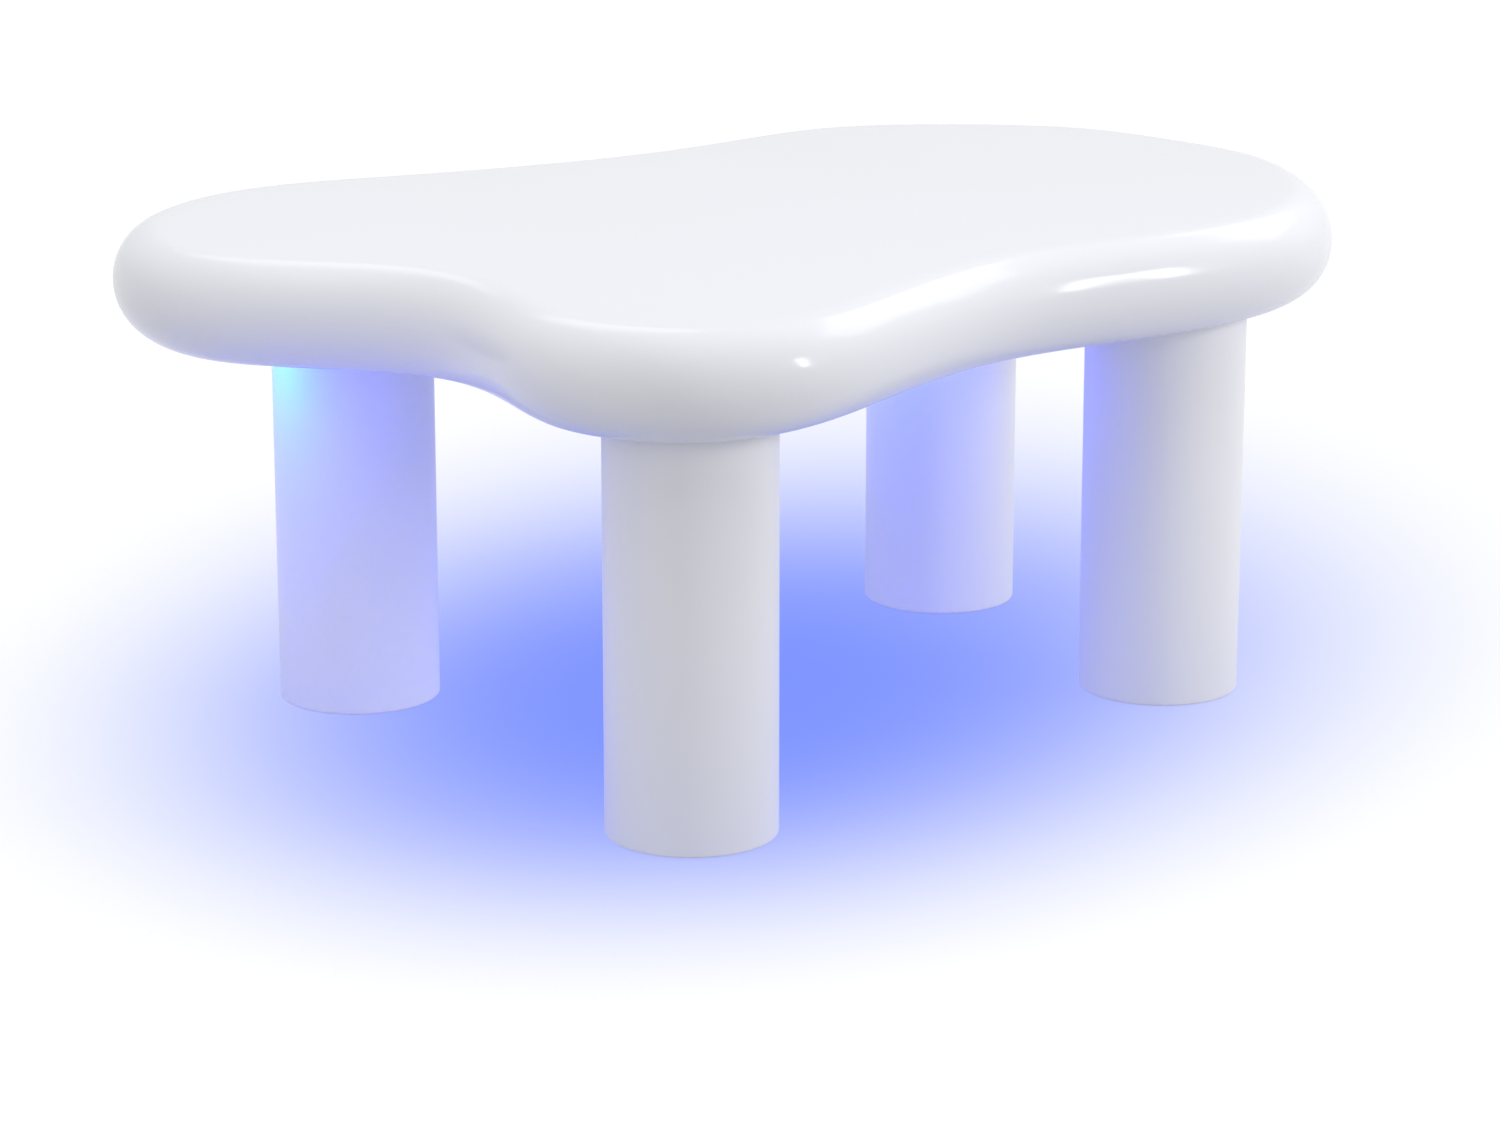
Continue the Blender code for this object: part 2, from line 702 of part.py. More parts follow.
def make_light():
    """The channel in the panel's groove, the light strip in the channel and the diffuser that closes it."""
    outer = GROOVE_WIDTH / 2 - SEAT_GAP
    inner = outer - CHANNEL_WALL
    web_low = CHANNEL_TOP - CHANNEL_WALL
    channel_section = [
        (-outer, UNDERSIDE),
        (-inner, UNDERSIDE),
        (-inner, web_low),
        (inner, web_low),
        (inner, UNDERSIDE),
        (outer, UNDERSIDE),
        (outer, CHANNEL_TOP),
        (-outer, CHANNEL_TOP),
    ]
    channel = piece("light_channel", swept_mesh("light_channel", light_loop(), channel_section), SILICONE)
    cut(channel, lead_hole_mesh())
    half = STRIP_WIDTH / 2
    strip_low = STRIP_TOP - STRIP_THICKNESS
    strip_section = [(-half, strip_low), (half, strip_low), (half, STRIP_TOP), (-half, STRIP_TOP)]
    piece("light_strip", swept_mesh("light_strip", strip_route(), strip_section, closed=False), STRIP_FILM)
    side = inner - SEAT_GAP
    shoulder = side - DIFFUSER_SHOULDER
    top = strip_low - SEAT_GAP
    low = UNDERSIDE - DIFFUSER_PROUD
    diffuser_section = [
        (-shoulder, low),
        (shoulder, low),
        (side, UNDERSIDE),
        (side, top),
        (-side, top),
        (-side, UNDERSIDE),
    ]
    piece("light_diffuser", swept_mesh("light_diffuser", light_loop(), diffuser_section), LIT_DIFFUSER)


def around(middle, length, width, low, high):
    """The two corners of a box with its middle on the plan at the given point."""
    reach = np.array((length / 2, width / 2))
    return (*(middle - reach), low), (*(middle + reach), high)


def ear_places():
    """The middles of the base plate's two ears."""
    reach = (CASE_LENGTH + EAR_LENGTH) / 2
    return [controller_middle() + (sign * reach, 0) for sign in (-1, 1)]


def inlet_face():
    """The plane of the inlet's open end, just inside the case's end wall."""
    return controller_middle()[0] + CASE_LENGTH / 2 - CASE_WALL - SEAT_GAP


def key_places():
    """Each key's name and middle. The last key stands beside the inlet."""
    last = inlet_face() - INLET_LENGTH - KEY_INLET_GAP - KEY_FLANGE - KEY_RADIUS
    y = controller_middle()[1]
    names = ("brightness", "colour", "power")
    return {name: np.array((last - number * KEY_PITCH, y)) for number, name in enumerate(names)}


def make_controller_base():
    """The plate that the case snaps to, and its two screws."""
    middle = controller_middle()
    low = BASE_TOP - BASE_THICKNESS
    corners = around(middle, CASE_LENGTH + 2 * EAR_LENGTH, CASE_WIDTH, low, BASE_TOP)
    base = piece("controller_base", rounded_box_mesh("controller_base", *corners, CASE_CORNER), CASE_PLASTIC)
    places = [(*place, low) for place in ear_places()]
    cut(base, screw_hole_mesh(CONTROLLER_SCREW_LENGTH, places))
    cut(base, lead_hole_mesh())
    screw = screw_mesh(CONTROLLER_SCREW_LENGTH)
    for number, place in enumerate(places, 1):
        piece(f"controller_screw_{number}", screw, ZINC_STEEL, place)


def inlet_axis_height():
    """The height of the middle of the inlet's bore."""
    return BOARD_LOW - SEAT_GAP - INLET_HEIGHT / 2


def facing_end(mesh, x):
    """Turns a shape that stands along Z so that its top faces +X, and puts its foot at the given plane."""
    y = controller_middle()[1]
    mesh.transform(Matrix.Translation((x, y, inlet_axis_height())) @ Matrix.Rotation(math.pi / 2, 4, "Y"))
    return mesh


def make_case():
    """The case: open above, a ledge for the board, key holes in its floor and a window for the inlet."""
    middle = controller_middle()
    corners = around(middle, CASE_LENGTH, CASE_WIDTH, CASE_LOW, CASE_TOP)
    case = piece("controller_case", rounded_box_mesh("controller_case", *corners, CASE_CORNER), CASE_PLASTIC)
    length = CASE_LENGTH - 2 * CASE_WALL
    width = CASE_WIDTH - 2 * CASE_WALL
    ledge = BOARD_LOW - SEAT_GAP
    cut(case, box_mesh("board_space", *around(middle, length, width, ledge, CASE_TOP + CUT_OVERRUN)))
    below = around(middle, length, width - 2 * BOARD_LEDGE, CASE_FLOOR, CASE_TOP + CUT_OVERRUN)
    cut(case, box_mesh("switch_space", *below))
    hole_radius = KEY_RADIUS + KEY_CLEARANCE
    low = CASE_LOW - CUT_OVERRUN
    key_hole = disc_mesh("key_hole", hole_radius, low, CASE_FLOOR + CUT_OVERRUN, KEY_STEPS)
    cut(case, copies(key_hole, [(*place, 0) for place in key_places().values()]))
    window_radius = INLET_BORE_RADIUS + INLET_WINDOW_CLEARANCE
    window = disc_mesh("window", window_radius, 0, CASE_WALL + CUT_OVERRUN, INLET_STEPS)
    cut(case, facing_end(window, inlet_face() - SEAT_GAP))


def make_board():
    """The circuit board and its three key switches."""
    length = CASE_LENGTH - 2 * (CASE_WALL + SEAT_GAP)
    width = CASE_WIDTH - 2 * (CASE_WALL + SEAT_GAP)
    corners = around(controller_middle(), length, width, BOARD_LOW, BOARD_TOP)
    piece("controller_board", box_mesh("controller_board", *corners), BOARD_LAMINATE)
    low = SWITCH_TOP - SWITCH_HEIGHT
    for name, place in key_places().items():
        body = box_mesh(f"{name}_switch", *around(place, SWITCH_SIDE, SWITCH_SIDE, low, SWITCH_TOP))
        switch = piece(f"{name}_switch", body, BLACK_PLASTIC)
        stem = disc_mesh("stem", SWITCH_STEM_RADIUS, SWITCH_STEM_LOW, SWITCH_TOP - SEAT_GAP, KEY_STEPS)
        join(switch, stem, (*place, 0))


def make_keys():
    """Three push buttons. Each rests with its flange on the case's floor and travels up to its switch."""
    flange_low = CASE_FLOOR + SEAT_GAP
    flange_top = flange_low + KEY_FLANGE_THICKNESS
    post_top = SWITCH_STEM_LOW - SEAT_GAP - KEY_TRAVEL
    low = CASE_LOW - KEY_PROUD
    mesh = turned_mesh(
        "key",
        [
            (0, post_top - flange_low),
            (KEY_POST_RADIUS, post_top - flange_low),
            (KEY_POST_RADIUS, flange_top - flange_low),
            (KEY_RADIUS + KEY_FLANGE, flange_top - flange_low),
            (KEY_RADIUS + KEY_FLANGE, 0),
            (KEY_RADIUS, 0),
            (KEY_RADIUS, low + KEY_EDGE - flange_low),
            (KEY_RADIUS - KEY_EDGE, low - flange_low),
            (0, low - flange_low),
        ],
        KEY_STEPS,
    )
    for name, place in key_places().items():
        piece(f"{name}_button", mesh, KEY_PLASTIC, (*place, flange_low))


def make_inlet():
    """The power inlet: a block under the board with a round bore and the pin in its middle."""
    middle = (inlet_face() - INLET_LENGTH / 2, controller_middle()[1])
    low = inlet_axis_height() - INLET_HEIGHT / 2
    corners = around(np.array(middle), INLET_LENGTH, INLET_WIDTH, low, low + INLET_HEIGHT)
    inlet = piece("power_inlet", box_mesh("power_inlet", *corners), BLACK_PLASTIC)
    reach = INLET_BORE_DEPTH + CUT_OVERRUN
    bore = ring_mesh("bore", INLET_BORE_RADIUS, INLET_PIN_RADIUS, 0, reach, INLET_STEPS)
    cut(inlet, facing_end(bore, inlet_face() - INLET_BORE_DEPTH))


def lead_points():
    """The lead's line: straight up from the board, over in half an ellipse, straight down to the strip."""
    turn = np.linspace(0, math.pi, LEAD_ARCH_COUNT)
    share = (1 - np.cos(turn)) / 2
    plan = lead_start() + share[:, None] * (lead_end() - lead_start())
    height = PANEL_TOP + LEAD_ARCH_HEIGHT * np.sin(turn)
    arch = np.column_stack([plan, height])
    first = (*lead_start(), BOARD_TOP + SEAT_GAP)
    last = (*lead_end(), STRIP_TOP + SEAT_GAP)
    return np.vstack([first, arch, last])


def make_lead():
    """The lead, from the controller's board to the strip."""
    data = bpy.data.curves.new("strip_lead", "CURVE")
    data.dimensions = "3D"
    data.bevel_depth = LEAD_RADIUS
    data.bevel_resolution = LEAD_RESOLUTION
    data.use_fill_caps = True
    points = lead_points()
    spline = data.splines.new("POLY")
    spline.points.add(len(points) - 1)
    for point, place in zip(spline.points, points):
        point.co = (*place, 1)
    obj = bpy.data.objects.new("strip_lead", data)
    collection(PARTS).objects.link(obj)
    piece("strip_lead", baked(obj), LEAD_SHEATH)


def main():
    clear_scene()
    make_shell()
    make_panel()
    make_panel_screws()
    make_ribs()
    make_blocks()
    make_columns()
    make_light()
    make_controller_base()
    make_case()
    make_board()
    make_keys()
    make_inlet()
    make_lead()


main()
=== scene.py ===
"""Looks of a light-up cloud table: its surfaces, its light and its studio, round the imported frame.

Metres, +Z up, in the frame's own place: the origin is on the floor under the middle of the top, +X runs along
the table and +Y to its back. What a piece stands on, and where, is read from the frame.
"""

from __future__ import annotations

import json
import logging
import math
from dataclasses import dataclass
from enum import Enum
from typing import Optional, Sequence, Union

import bpy
import numpy as np
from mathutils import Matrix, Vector

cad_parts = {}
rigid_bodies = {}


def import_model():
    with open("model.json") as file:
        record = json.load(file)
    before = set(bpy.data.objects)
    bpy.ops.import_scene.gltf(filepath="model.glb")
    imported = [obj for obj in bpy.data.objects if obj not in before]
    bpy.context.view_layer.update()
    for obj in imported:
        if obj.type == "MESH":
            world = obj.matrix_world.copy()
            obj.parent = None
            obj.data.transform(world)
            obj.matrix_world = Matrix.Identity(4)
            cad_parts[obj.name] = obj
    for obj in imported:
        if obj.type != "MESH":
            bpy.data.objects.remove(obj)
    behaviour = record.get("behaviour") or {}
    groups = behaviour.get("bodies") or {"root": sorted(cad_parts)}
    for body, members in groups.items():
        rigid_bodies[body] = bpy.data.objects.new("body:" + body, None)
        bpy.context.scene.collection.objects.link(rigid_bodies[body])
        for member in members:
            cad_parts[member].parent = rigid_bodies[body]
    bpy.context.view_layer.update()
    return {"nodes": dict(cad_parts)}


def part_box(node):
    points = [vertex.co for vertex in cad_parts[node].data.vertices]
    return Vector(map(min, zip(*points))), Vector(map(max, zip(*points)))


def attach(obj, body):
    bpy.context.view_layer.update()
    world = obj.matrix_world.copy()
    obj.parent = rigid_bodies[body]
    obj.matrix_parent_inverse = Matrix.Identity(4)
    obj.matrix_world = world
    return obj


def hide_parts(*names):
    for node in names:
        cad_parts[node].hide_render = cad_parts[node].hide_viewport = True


LOG = logging.getLogger("cloud_table")

TABLE_BODY = "table"
UV_NAME = "route"
SHARP_ANGLE = math.radians(32)
FULL_TURN = 2 * math.pi

# Sizes and shares that more than one piece uses

SAME_PLACE = 0.00002
PLACE_DIGITS = 6
SEAT_GAP = 0.0003
LAMP_PITCH = 0.0167
POLE_RADIUS = 0.0003
POLE_SHARE = 0.5

Colour = tuple[float, float, float]
Number = Union[float, "Value"]
Link = Union[float, Sequence[float], "Value", bpy.types.NodeSocket]
Inputs = dict[Union[int, str], Link]

VIOLET_GLOW: Colour = (0.16, 0.19, 1.0)
CYAN_GLOW: Colour = (0.10, 0.62, 1.0)
WHITE: Colour = (1.0, 1.0, 1.0)
BLACK: Colour = (0.0, 0.0, 0.0)


# Shader maths


class Value:
    """A number that a shader works out at each point of a surface, with the usual operators."""

    def __init__(self, tree: ShaderTree, socket: bpy.types.NodeSocket) -> None:
        """Wraps an output socket of a tree."""
        self.tree = tree
        self.socket = socket

    def __add__(self, other: Number) -> Value:
        """The sum."""
        return self.tree.maths("ADD", self, other)

    def __radd__(self, other: Number) -> Value:
        """The sum, number first."""
        return self.tree.maths("ADD", other, self)

    def __sub__(self, other: Number) -> Value:
        """The difference."""
        return self.tree.maths("SUBTRACT", self, other)

    def __rsub__(self, other: Number) -> Value:
        """The difference, number first."""
        return self.tree.maths("SUBTRACT", other, self)

    def __mul__(self, other: Number) -> Value:
        """The product."""
        return self.tree.maths("MULTIPLY", self, other)

    def __rmul__(self, other: Number) -> Value:
        """The product, number first."""
        return self.tree.maths("MULTIPLY", other, self)

    def __truediv__(self, other: Number) -> Value:
        """The quotient."""
        return self.tree.maths("DIVIDE", self, other)

    def __rtruediv__(self, other: Number) -> Value:
        """The quotient, number first."""
        return self.tree.maths("DIVIDE", other, self)

    def __pow__(self, other: Number) -> Value:
        """The power."""
        return self.tree.maths("POWER", self, other)

    def wave(self) -> Value:
        """A wave from 0 to 1, from the sine of this as an angle in radians."""
        return self.sine().raised()

    def sine(self) -> Value:
        """The sine of an angle in radians."""
        return self.tree.maths("SINE", self)

    def raised(self) -> Value:
        """A number from -1 to 1, brought to 0 to 1."""
        return self * 0.5 + 0.5

    def centred(self) -> Value:
        """A number from 0 to 1, moved down by a half, so that it lies round 0."""
        return self - 0.5

    def exponential(self) -> Value:
        """The number e raised to this."""
        return self.tree.maths("EXPONENT", self)

    def size(self) -> Value:
        """The number without its sign."""
        return self.tree.maths("ABSOLUTE", self)

    def from_middle(self) -> Value:
        """How far the part after the point is from a half: 0 midway between whole numbers, a half on them."""
        return (self.tree.maths("FRACT", self) - 0.5).size()

    def from_multiple(self, pitch: float) -> Value:
        """How far the nearest multiple of a pitch is, as a share of the pitch: from 0 to a half."""
        return (self / pitch + 0.5).from_middle()

    def at_least(self, other: Number) -> Value:
        """The greater of the two."""
        return self.tree.maths("MAXIMUM", self, other)

    def step(self, low: float, high: float) -> Value:
        """A soft step: 0 up to low, 1 from high on, and a smooth rise between them.

        Args:
            low: Where the rise starts. It may be above high, for a fall.
            high: Where the rise ends.

        Returns:
            The step, from 0 to 1.
        """
        node = self.tree.node(
            "ShaderNodeMapRange",
            {"interpolation_type": "SMOOTHSTEP"},
            {"Value": self, "From Min": low, "From Max": high},
        )
        return Value(self.tree, node.outputs["Result"])


class ShaderTree:
    """The nodes of one material or world."""

    def __init__(self, owner: Union[bpy.types.Material, bpy.types.World]) -> None:
        """Empties the owner's node tree and takes it over.

        Args:
            owner: The material or world.
        """
        owner.use_nodes = True
        self.tree = owner.node_tree
        self.tree.nodes.clear()

    @staticmethod
    def find(sockets: bpy.types.bpy_prop_collection, key: Union[int, str]) -> bpy.types.NodeSocket:
        """Looks a socket up.

        Args:
            sockets: A node's input sockets.
            key: The socket's number, or its name.

        Returns:
            The socket with that number, or the one in use that has that name.
        """
        if isinstance(key, int):
            return sockets[key]
        return next(socket for socket in sockets if socket.enabled and socket.name == key)

    def node(
        self,
        kind: str,
        settings: Optional[dict[str, object]] = None,
        inputs: Optional[Inputs] = None,
    ) -> bpy.types.Node:
        """Adds a node.

        Args:
            kind: The node's type.
            settings: Its own settings, which are set before its sockets.
            inputs: Values or links of its input sockets, by name or number.

        Returns:
            The new node.
        """
        node = self.tree.nodes.new(kind)
        for name, value in (settings or {}).items():
            setattr(node, name, value)
        for key, value in (inputs or {}).items():
            socket = self.find(node.inputs, key)
            if isinstance(value, Value):
                self.tree.links.new(value.socket, socket)
            elif isinstance(value, bpy.types.NodeSocket):
                self.tree.links.new(value, socket)
            elif isinstance(value, tuple) and socket.type == "RGBA":
                socket.default_value = (*value[:3], 1.0)
            else:
                socket.default_value = value
        return node

    def maths(self, operation: str, first: Number, second: Number = 0.0) -> Value:
        """One Math node on two numbers."""
        node = self.node("ShaderNodeMath", {"operation": operation}, {0: first, 1: second})
        return Value(self, node.outputs["Value"])

    def place(self) -> bpy.types.NodeSocket:
        """The point's place in the object's own coordinates, in metres."""
        return self.node("ShaderNodeTexCoord").outputs["Object"]

    def parts(self, vector: bpy.types.NodeSocket) -> tuple[Value, Value, Value]:
        """A vector's three components."""
        node = self.node("ShaderNodeSeparateXYZ", None, {"Vector": vector})
        return tuple(Value(self, node.outputs[axis]) for axis in "XYZ")

    def along(self) -> tuple[Value, Value]:
        """The point's place on the piece's own UV map: metres along its route, and metres across it."""
        node = self.node("ShaderNodeUVMap", {"uv_map": UV_NAME})
        return self.parts(node.outputs["UV"])[:2]

    def stretched(self, vector: bpy.types.NodeSocket, scale: Sequence[float]) -> bpy.types.NodeSocket:
        """A vector with each component multiplied by a number of its own."""
        node = self.node("ShaderNodeVectorMath", {"operation": "MULTIPLY"}, {0: vector, 1: tuple(scale)})
        return node.outputs["Vector"]

    def noise(
        self,
        vector: bpy.types.NodeSocket,
        scale: Union[float, Sequence[float]],
        detail: float = 2.0,
        harshness: float = 0.5,
    ) -> Value:
        """Soft noise from 0 to 1.

        Args:
            vector: Where it is read.
            scale: Bumps per metre: one number, or one for each axis.
            detail: How many finer layers lie on it.
            harshness: How strong each finer layer is.

        Returns:
            The noise.
        """
        if not isinstance(scale, float):
            vector = self.stretched(vector, scale)
            scale = 1.0
        inputs = {"Vector": vector, "Scale": scale, "Detail": detail, "Roughness": harshness}
        return Value(self, self.node("ShaderNodeTexNoise", None, inputs).outputs[0])

    def cells(self, vector: bpy.types.NodeSocket, scale: float, feature: str = "F1") -> bpy.types.Node:
        """A Voronoi node: cells of about one over scale metres."""
        return self.node("ShaderNodeTexVoronoi", {"feature": feature}, {"Vector": vector, "Scale": scale})

    def cell_distance(self, vector: bpy.types.NodeSocket, scale: float, feature: str = "F1") -> Value:
        """How far the middle of the nearest cell is, in cells."""
        return Value(self, self.cells(vector, scale, feature).outputs["Distance"])

    def blend(self, share: Number, first: Link, second: Link) -> bpy.types.NodeSocket:
        """A mix of two colours: the first at share 0, the second at 1."""
        inputs = {"Factor": share, "A": first, "B": second}
        return self.find_out(self.node("ShaderNodeMix", {"data_type": "RGBA"}, inputs))

    @staticmethod
    def find_out(node: bpy.types.Node) -> bpy.types.NodeSocket:
        """A node's first output in use."""
        return next(socket for socket in node.outputs if socket.enabled)

    def bump(self, height: Value, depth: float) -> bpy.types.NodeSocket:
        """A normal tilted by a height from 0 to 1, which is depth metres at 1."""
        return self.node("ShaderNodeBump", None, {"Height": height, "Distance": depth}).outputs["Normal"]

    def path(self, kind: str) -> Value:
        """1 for rays of a kind, named as on the Light Path node, and 0 for all others."""
        return Value(self, self.node("ShaderNodeLightPath").outputs[kind])

    def shader(self, kind: str, inputs: Optional[Inputs] = None) -> bpy.types.NodeSocket:
        """A shader node's output."""
        return self.node(kind, None, inputs).outputs[0]

    def emission(self, colour: Link, strength: Number) -> bpy.types.NodeSocket:
        """A shader that gives light."""
        return self.shader("ShaderNodeEmission", {"Color": colour, "Strength": strength})

    def diffuse(self, colour: Link) -> bpy.types.NodeSocket:
        """A matt shader."""
        return self.shader("ShaderNodeBsdfDiffuse", {"Color": colour})

    def both(self, first: bpy.types.NodeSocket, second: bpy.types.NodeSocket) -> bpy.types.NodeSocket:
        """Two shaders, added."""
        return self.shader("ShaderNodeAddShader", {0: first, 1: second})

    def either(
        self, share: Link, first: bpy.types.NodeSocket, second: bpy.types.NodeSocket
    ) -> bpy.types.NodeSocket:
        """The first shader at share 0, and the second at 1."""
        return self.shader("ShaderNodeMixShader", {0: share, 1: first, 2: second})

    def finish(self, surface: bpy.types.NodeSocket, output: str = "ShaderNodeOutputMaterial") -> None:
        """Links the last shader to an output node of the given type."""
        self.node(output, None, {"Surface": surface})


# Finishes


@dataclass(frozen=True)
class Finish:
    """What a piece is made of. Its name is the record's material slot."""

    name: str
    colour: Colour
    roughness: float

    def surface(self, shader: ShaderTree) -> Inputs:
        """The inputs of the Principled shader, built with nodes of this tree.

        Args:
            shader: The material's tree.

        Returns:
            Socket names and what goes into them.
        """
        raise NotImplementedError

    def tinted(self, share: Union[float, Sequence[float]]) -> Colour:
        """The finish's colour times a share, or times one share for each of its three parts."""
        return tuple(np.array(self.colour) * share)

    def material(self) -> bpy.types.Material:
        """The finish's material, made on first use beside the frame's plain one of the same slot.

        Returns:
            The material.
        """
        title = f"{self.name}_finish"
        made = bpy.data.materials.get(title)
        if made is None:
            made = bpy.data.materials.new(title)
            shader = ShaderTree(made)
            shader.finish(shader.shader("ShaderNodeBsdfPrincipled", self.surface(shader)))
        return made


@dataclass(frozen=True)
class GlossLacquer(Finish):
    """Thick sprayed lacquer, buffed: a faint orange peel, and wipe marks that show only in its shine."""

    coat_roughness: float = 0.13
    coat_weight: float = 0.6
    ground_shine: float = 0.12
    peel_scale: float = 260.0
    peel_depth: float = 0.000010
    drift_scale: float = 2.2
    drift_band: Sequence[float] = (0.35, 0.75)
    drift_share: Sequence[float] = (0.985, 0.982, 0.972)
    wipe_scale: Sequence[float] = (7.0, 26.0, 7.0)
    wipe_roughness: float = 0.035
    dust_scale: float = 1400.0
    dust_band: Sequence[float] = (0.76, 0.82)
    dust_roughness: float = 0.08
    dust_cover: float = 0.1

    def surface(self, shader: ShaderTree) -> Inputs:
        """Colour drifts slightly over the slab, and shine changes along the wipes and in specks of dust.

        Args:
            shader: The material's tree.

        Returns:
            Socket names and what goes into them.
        """
        place = shader.place()
        drift = shader.noise(place, self.drift_scale, detail=1.0).step(*self.drift_band)
        wipes = shader.noise(place, self.wipe_scale, detail=4.0, harshness=0.6)
        dust = shader.noise(place, self.dust_scale, detail=0.0).step(*self.dust_band)
        peel = shader.noise(place, self.peel_scale, detail=1.0)
        return {
            "Base Color": shader.blend(drift, self.colour, self.tinted(self.drift_share)),
            "Roughness": self.roughness + wipes.centred() * self.wipe_roughness + dust * self.dust_roughness,
            "Specular IOR Level": self.ground_shine,
            "Coat Weight": self.coat_weight - dust * self.dust_cover,
            "Coat Roughness": self.coat_roughness,
            "Normal": shader.bump(peel, self.peel_depth),
        }


@dataclass(frozen=True)
class SatinLacquer(Finish):
    """Satin lacquer on a wound tube: faint upright lines, and faint scuffs where it meets the floor."""

    line_scale: Sequence[float] = (170.0, 170.0, 5.0)
    line_roughness: float = 0.05
    mottle_scale: float = 38.0
    mottle_roughness: float = 0.05
    mottle_height: float = 0.5
    relief: float = 0.000030
    scuff_height: float = 0.006
    scuff_full_height: float = 0.001
    scuff_scale: Sequence[float] = (120.0, 120.0, 420.0)
    scuff_band: Sequence[float] = (0.45, 0.72)
    scuff_strength: float = 0.35
    scuff_share: Sequence[float] = (0.80, 0.79, 0.77)
    scuff_roughness: float = 0.2

    def surface(self, shader: ShaderTree) -> Inputs:
        """Roller lines run up the tube; scuffs darken and roughen its lowest millimetres.

        Args:
            shader: The material's tree.

        Returns:
            Socket names and what goes into them.
        """
        place = shader.place()
        lines = shader.noise(place, self.line_scale, detail=3.0, harshness=0.6)
        mottle = shader.noise(place, self.mottle_scale, detail=3.0, harshness=0.6)
        low = shader.parts(place)[2].step(self.scuff_height, self.scuff_full_height)
        rubbed = shader.noise(place, self.scuff_scale, detail=4.0).step(*self.scuff_band)
        scuffs = low * rubbed * self.scuff_strength
        return {
            "Base Color": shader.blend(scuffs, self.colour, self.tinted(self.scuff_share)),
            "Roughness": self.roughness
            + lines.centred() * self.line_roughness
            + mottle.centred() * self.mottle_roughness
            + scuffs * self.scuff_roughness,
            "Normal": shader.bump(lines + mottle * self.mottle_height, self.relief),
        }


@dataclass(frozen=True)
class RollerPaint(Finish):
    """Thin white paint rolled on board, with the stipple that a roller leaves."""

    stipple_scale: float = 520.0
    stipple_depth: float = 0.00012
    stipple_roughness: float = 0.16
    lap_scale: Sequence[float] = (1.6, 17.0, 1.0)
    lap_band: Sequence[float] = (0.42, 0.66)
    lap_share: Sequence[float] = (0.93, 0.93, 0.94)

    def surface(self, shader: ShaderTree) -> Inputs:
        """Fine stipple over the laps of the roller, which show as long, slightly greyer bands.

        Args:
            shader: The material's tree.

        Returns:
            Socket names and what goes into them.
        """
        place = shader.place()
        stipple = shader.noise(place, self.stipple_scale, detail=3.0, harshness=0.65)
        laps = shader.noise(place, self.lap_scale, detail=2.0).step(*self.lap_band)
        return {
            "Base Color": shader.blend(laps, self.colour, self.tinted(self.lap_share)),
            "Roughness": self.roughness + stipple.centred() * self.stipple_roughness,
            "Normal": shader.bump(stipple, self.stipple_depth),
        }


@dataclass(frozen=True)
class Fibreboard(Finish):
    """Bare medium-density fibreboard: short pressed fibres and the darker flecks of bark among them."""

    fibre_scale: float = 900.0
    fibre_stretch: Sequence[float] = (0.35, 0.35, 1.0)
    fibre_depth: float = 0.00010
    fibre_roughness: float = 0.2
    fibre_part: float = 0.6
    layer_scale: Sequence[float] = (6.0, 6.0, 240.0)
    mottle_band: Sequence[float] = (0.3, 0.7)
    pale_share: float = 1.22
    fleck_scale: float = 700.0
    fleck_band: Sequence[float] = (0.66, 0.74)
    fleck_cover: float = 0.8
    fleck_share: float = 0.45

    def surface(self, shader: ShaderTree) -> Inputs:
        """Layers lie level, so the fibres are drawn out along the board and the tone changes with height.

        Args:
            shader: The material's tree.

        Returns:
            Socket names and what goes into them.
        """
        place = shader.place()
        drawn_out = shader.stretched(place, self.fibre_stretch)
        fibres = shader.noise(drawn_out, self.fibre_scale, detail=3.0, harshness=0.7)
        layers = shader.noise(place, self.layer_scale, detail=3.0)
        flecks = shader.noise(place, self.fleck_scale, detail=1.0).step(*self.fleck_band)
        mottle = (fibres * self.fibre_part + layers * (1 - self.fibre_part)).step(*self.mottle_band)
        tone = shader.blend(mottle, self.colour, self.tinted(self.pale_share))
        return {
            "Base Color": shader.blend(flecks * self.fleck_cover, tone, self.tinted(self.fleck_share)),
            "Roughness": self.roughness + fibres.centred() * self.fibre_roughness,
            "Normal": shader.bump(fibres, self.fibre_depth),
        }


@dataclass(frozen=True)
class Metal(Finish):
    """Turned or rolled metal: a thread on its shank, tool marks round its axis, and small dull patches."""

    dull_colour: Colour
    thread_pitch: float = 0.0010
    thread_part: float = 0.6
    patch_scale: float = 260.0
    patch_cover: float = 0.7
    patch_roughness: float = 0.10
    mark_scale: Sequence[float] = (60.0, 60.0, 5200.0)
    mark_roughness: float = 0.12
    relief: float = 0.00012

    def surface(self, shader: ShaderTree) -> Inputs:
        """The thread is a wave along the height, and the dull patches are cells of unlike brightness.

        Args:
            shader: The material's tree.

        Returns:
            Socket names and what goes into them.
        """
        place = shader.place()
        thread = (shader.parts(place)[2] * (FULL_TURN / self.thread_pitch)).wave()
        tone = shader.parts(shader.cells(place, self.patch_scale).outputs["Color"])[0]
        marks = shader.noise(place, self.mark_scale, detail=2.0)
        height = thread * self.thread_part + marks * (1 - self.thread_part)
        return {
            "Base Color": shader.blend(tone * self.patch_cover, self.colour, self.dull_colour),
            "Metallic": 1.0,
            "Roughness": self.roughness + tone * self.patch_roughness + marks.centred() * self.mark_roughness,
            "Normal": shader.bump(height, self.relief),
        }


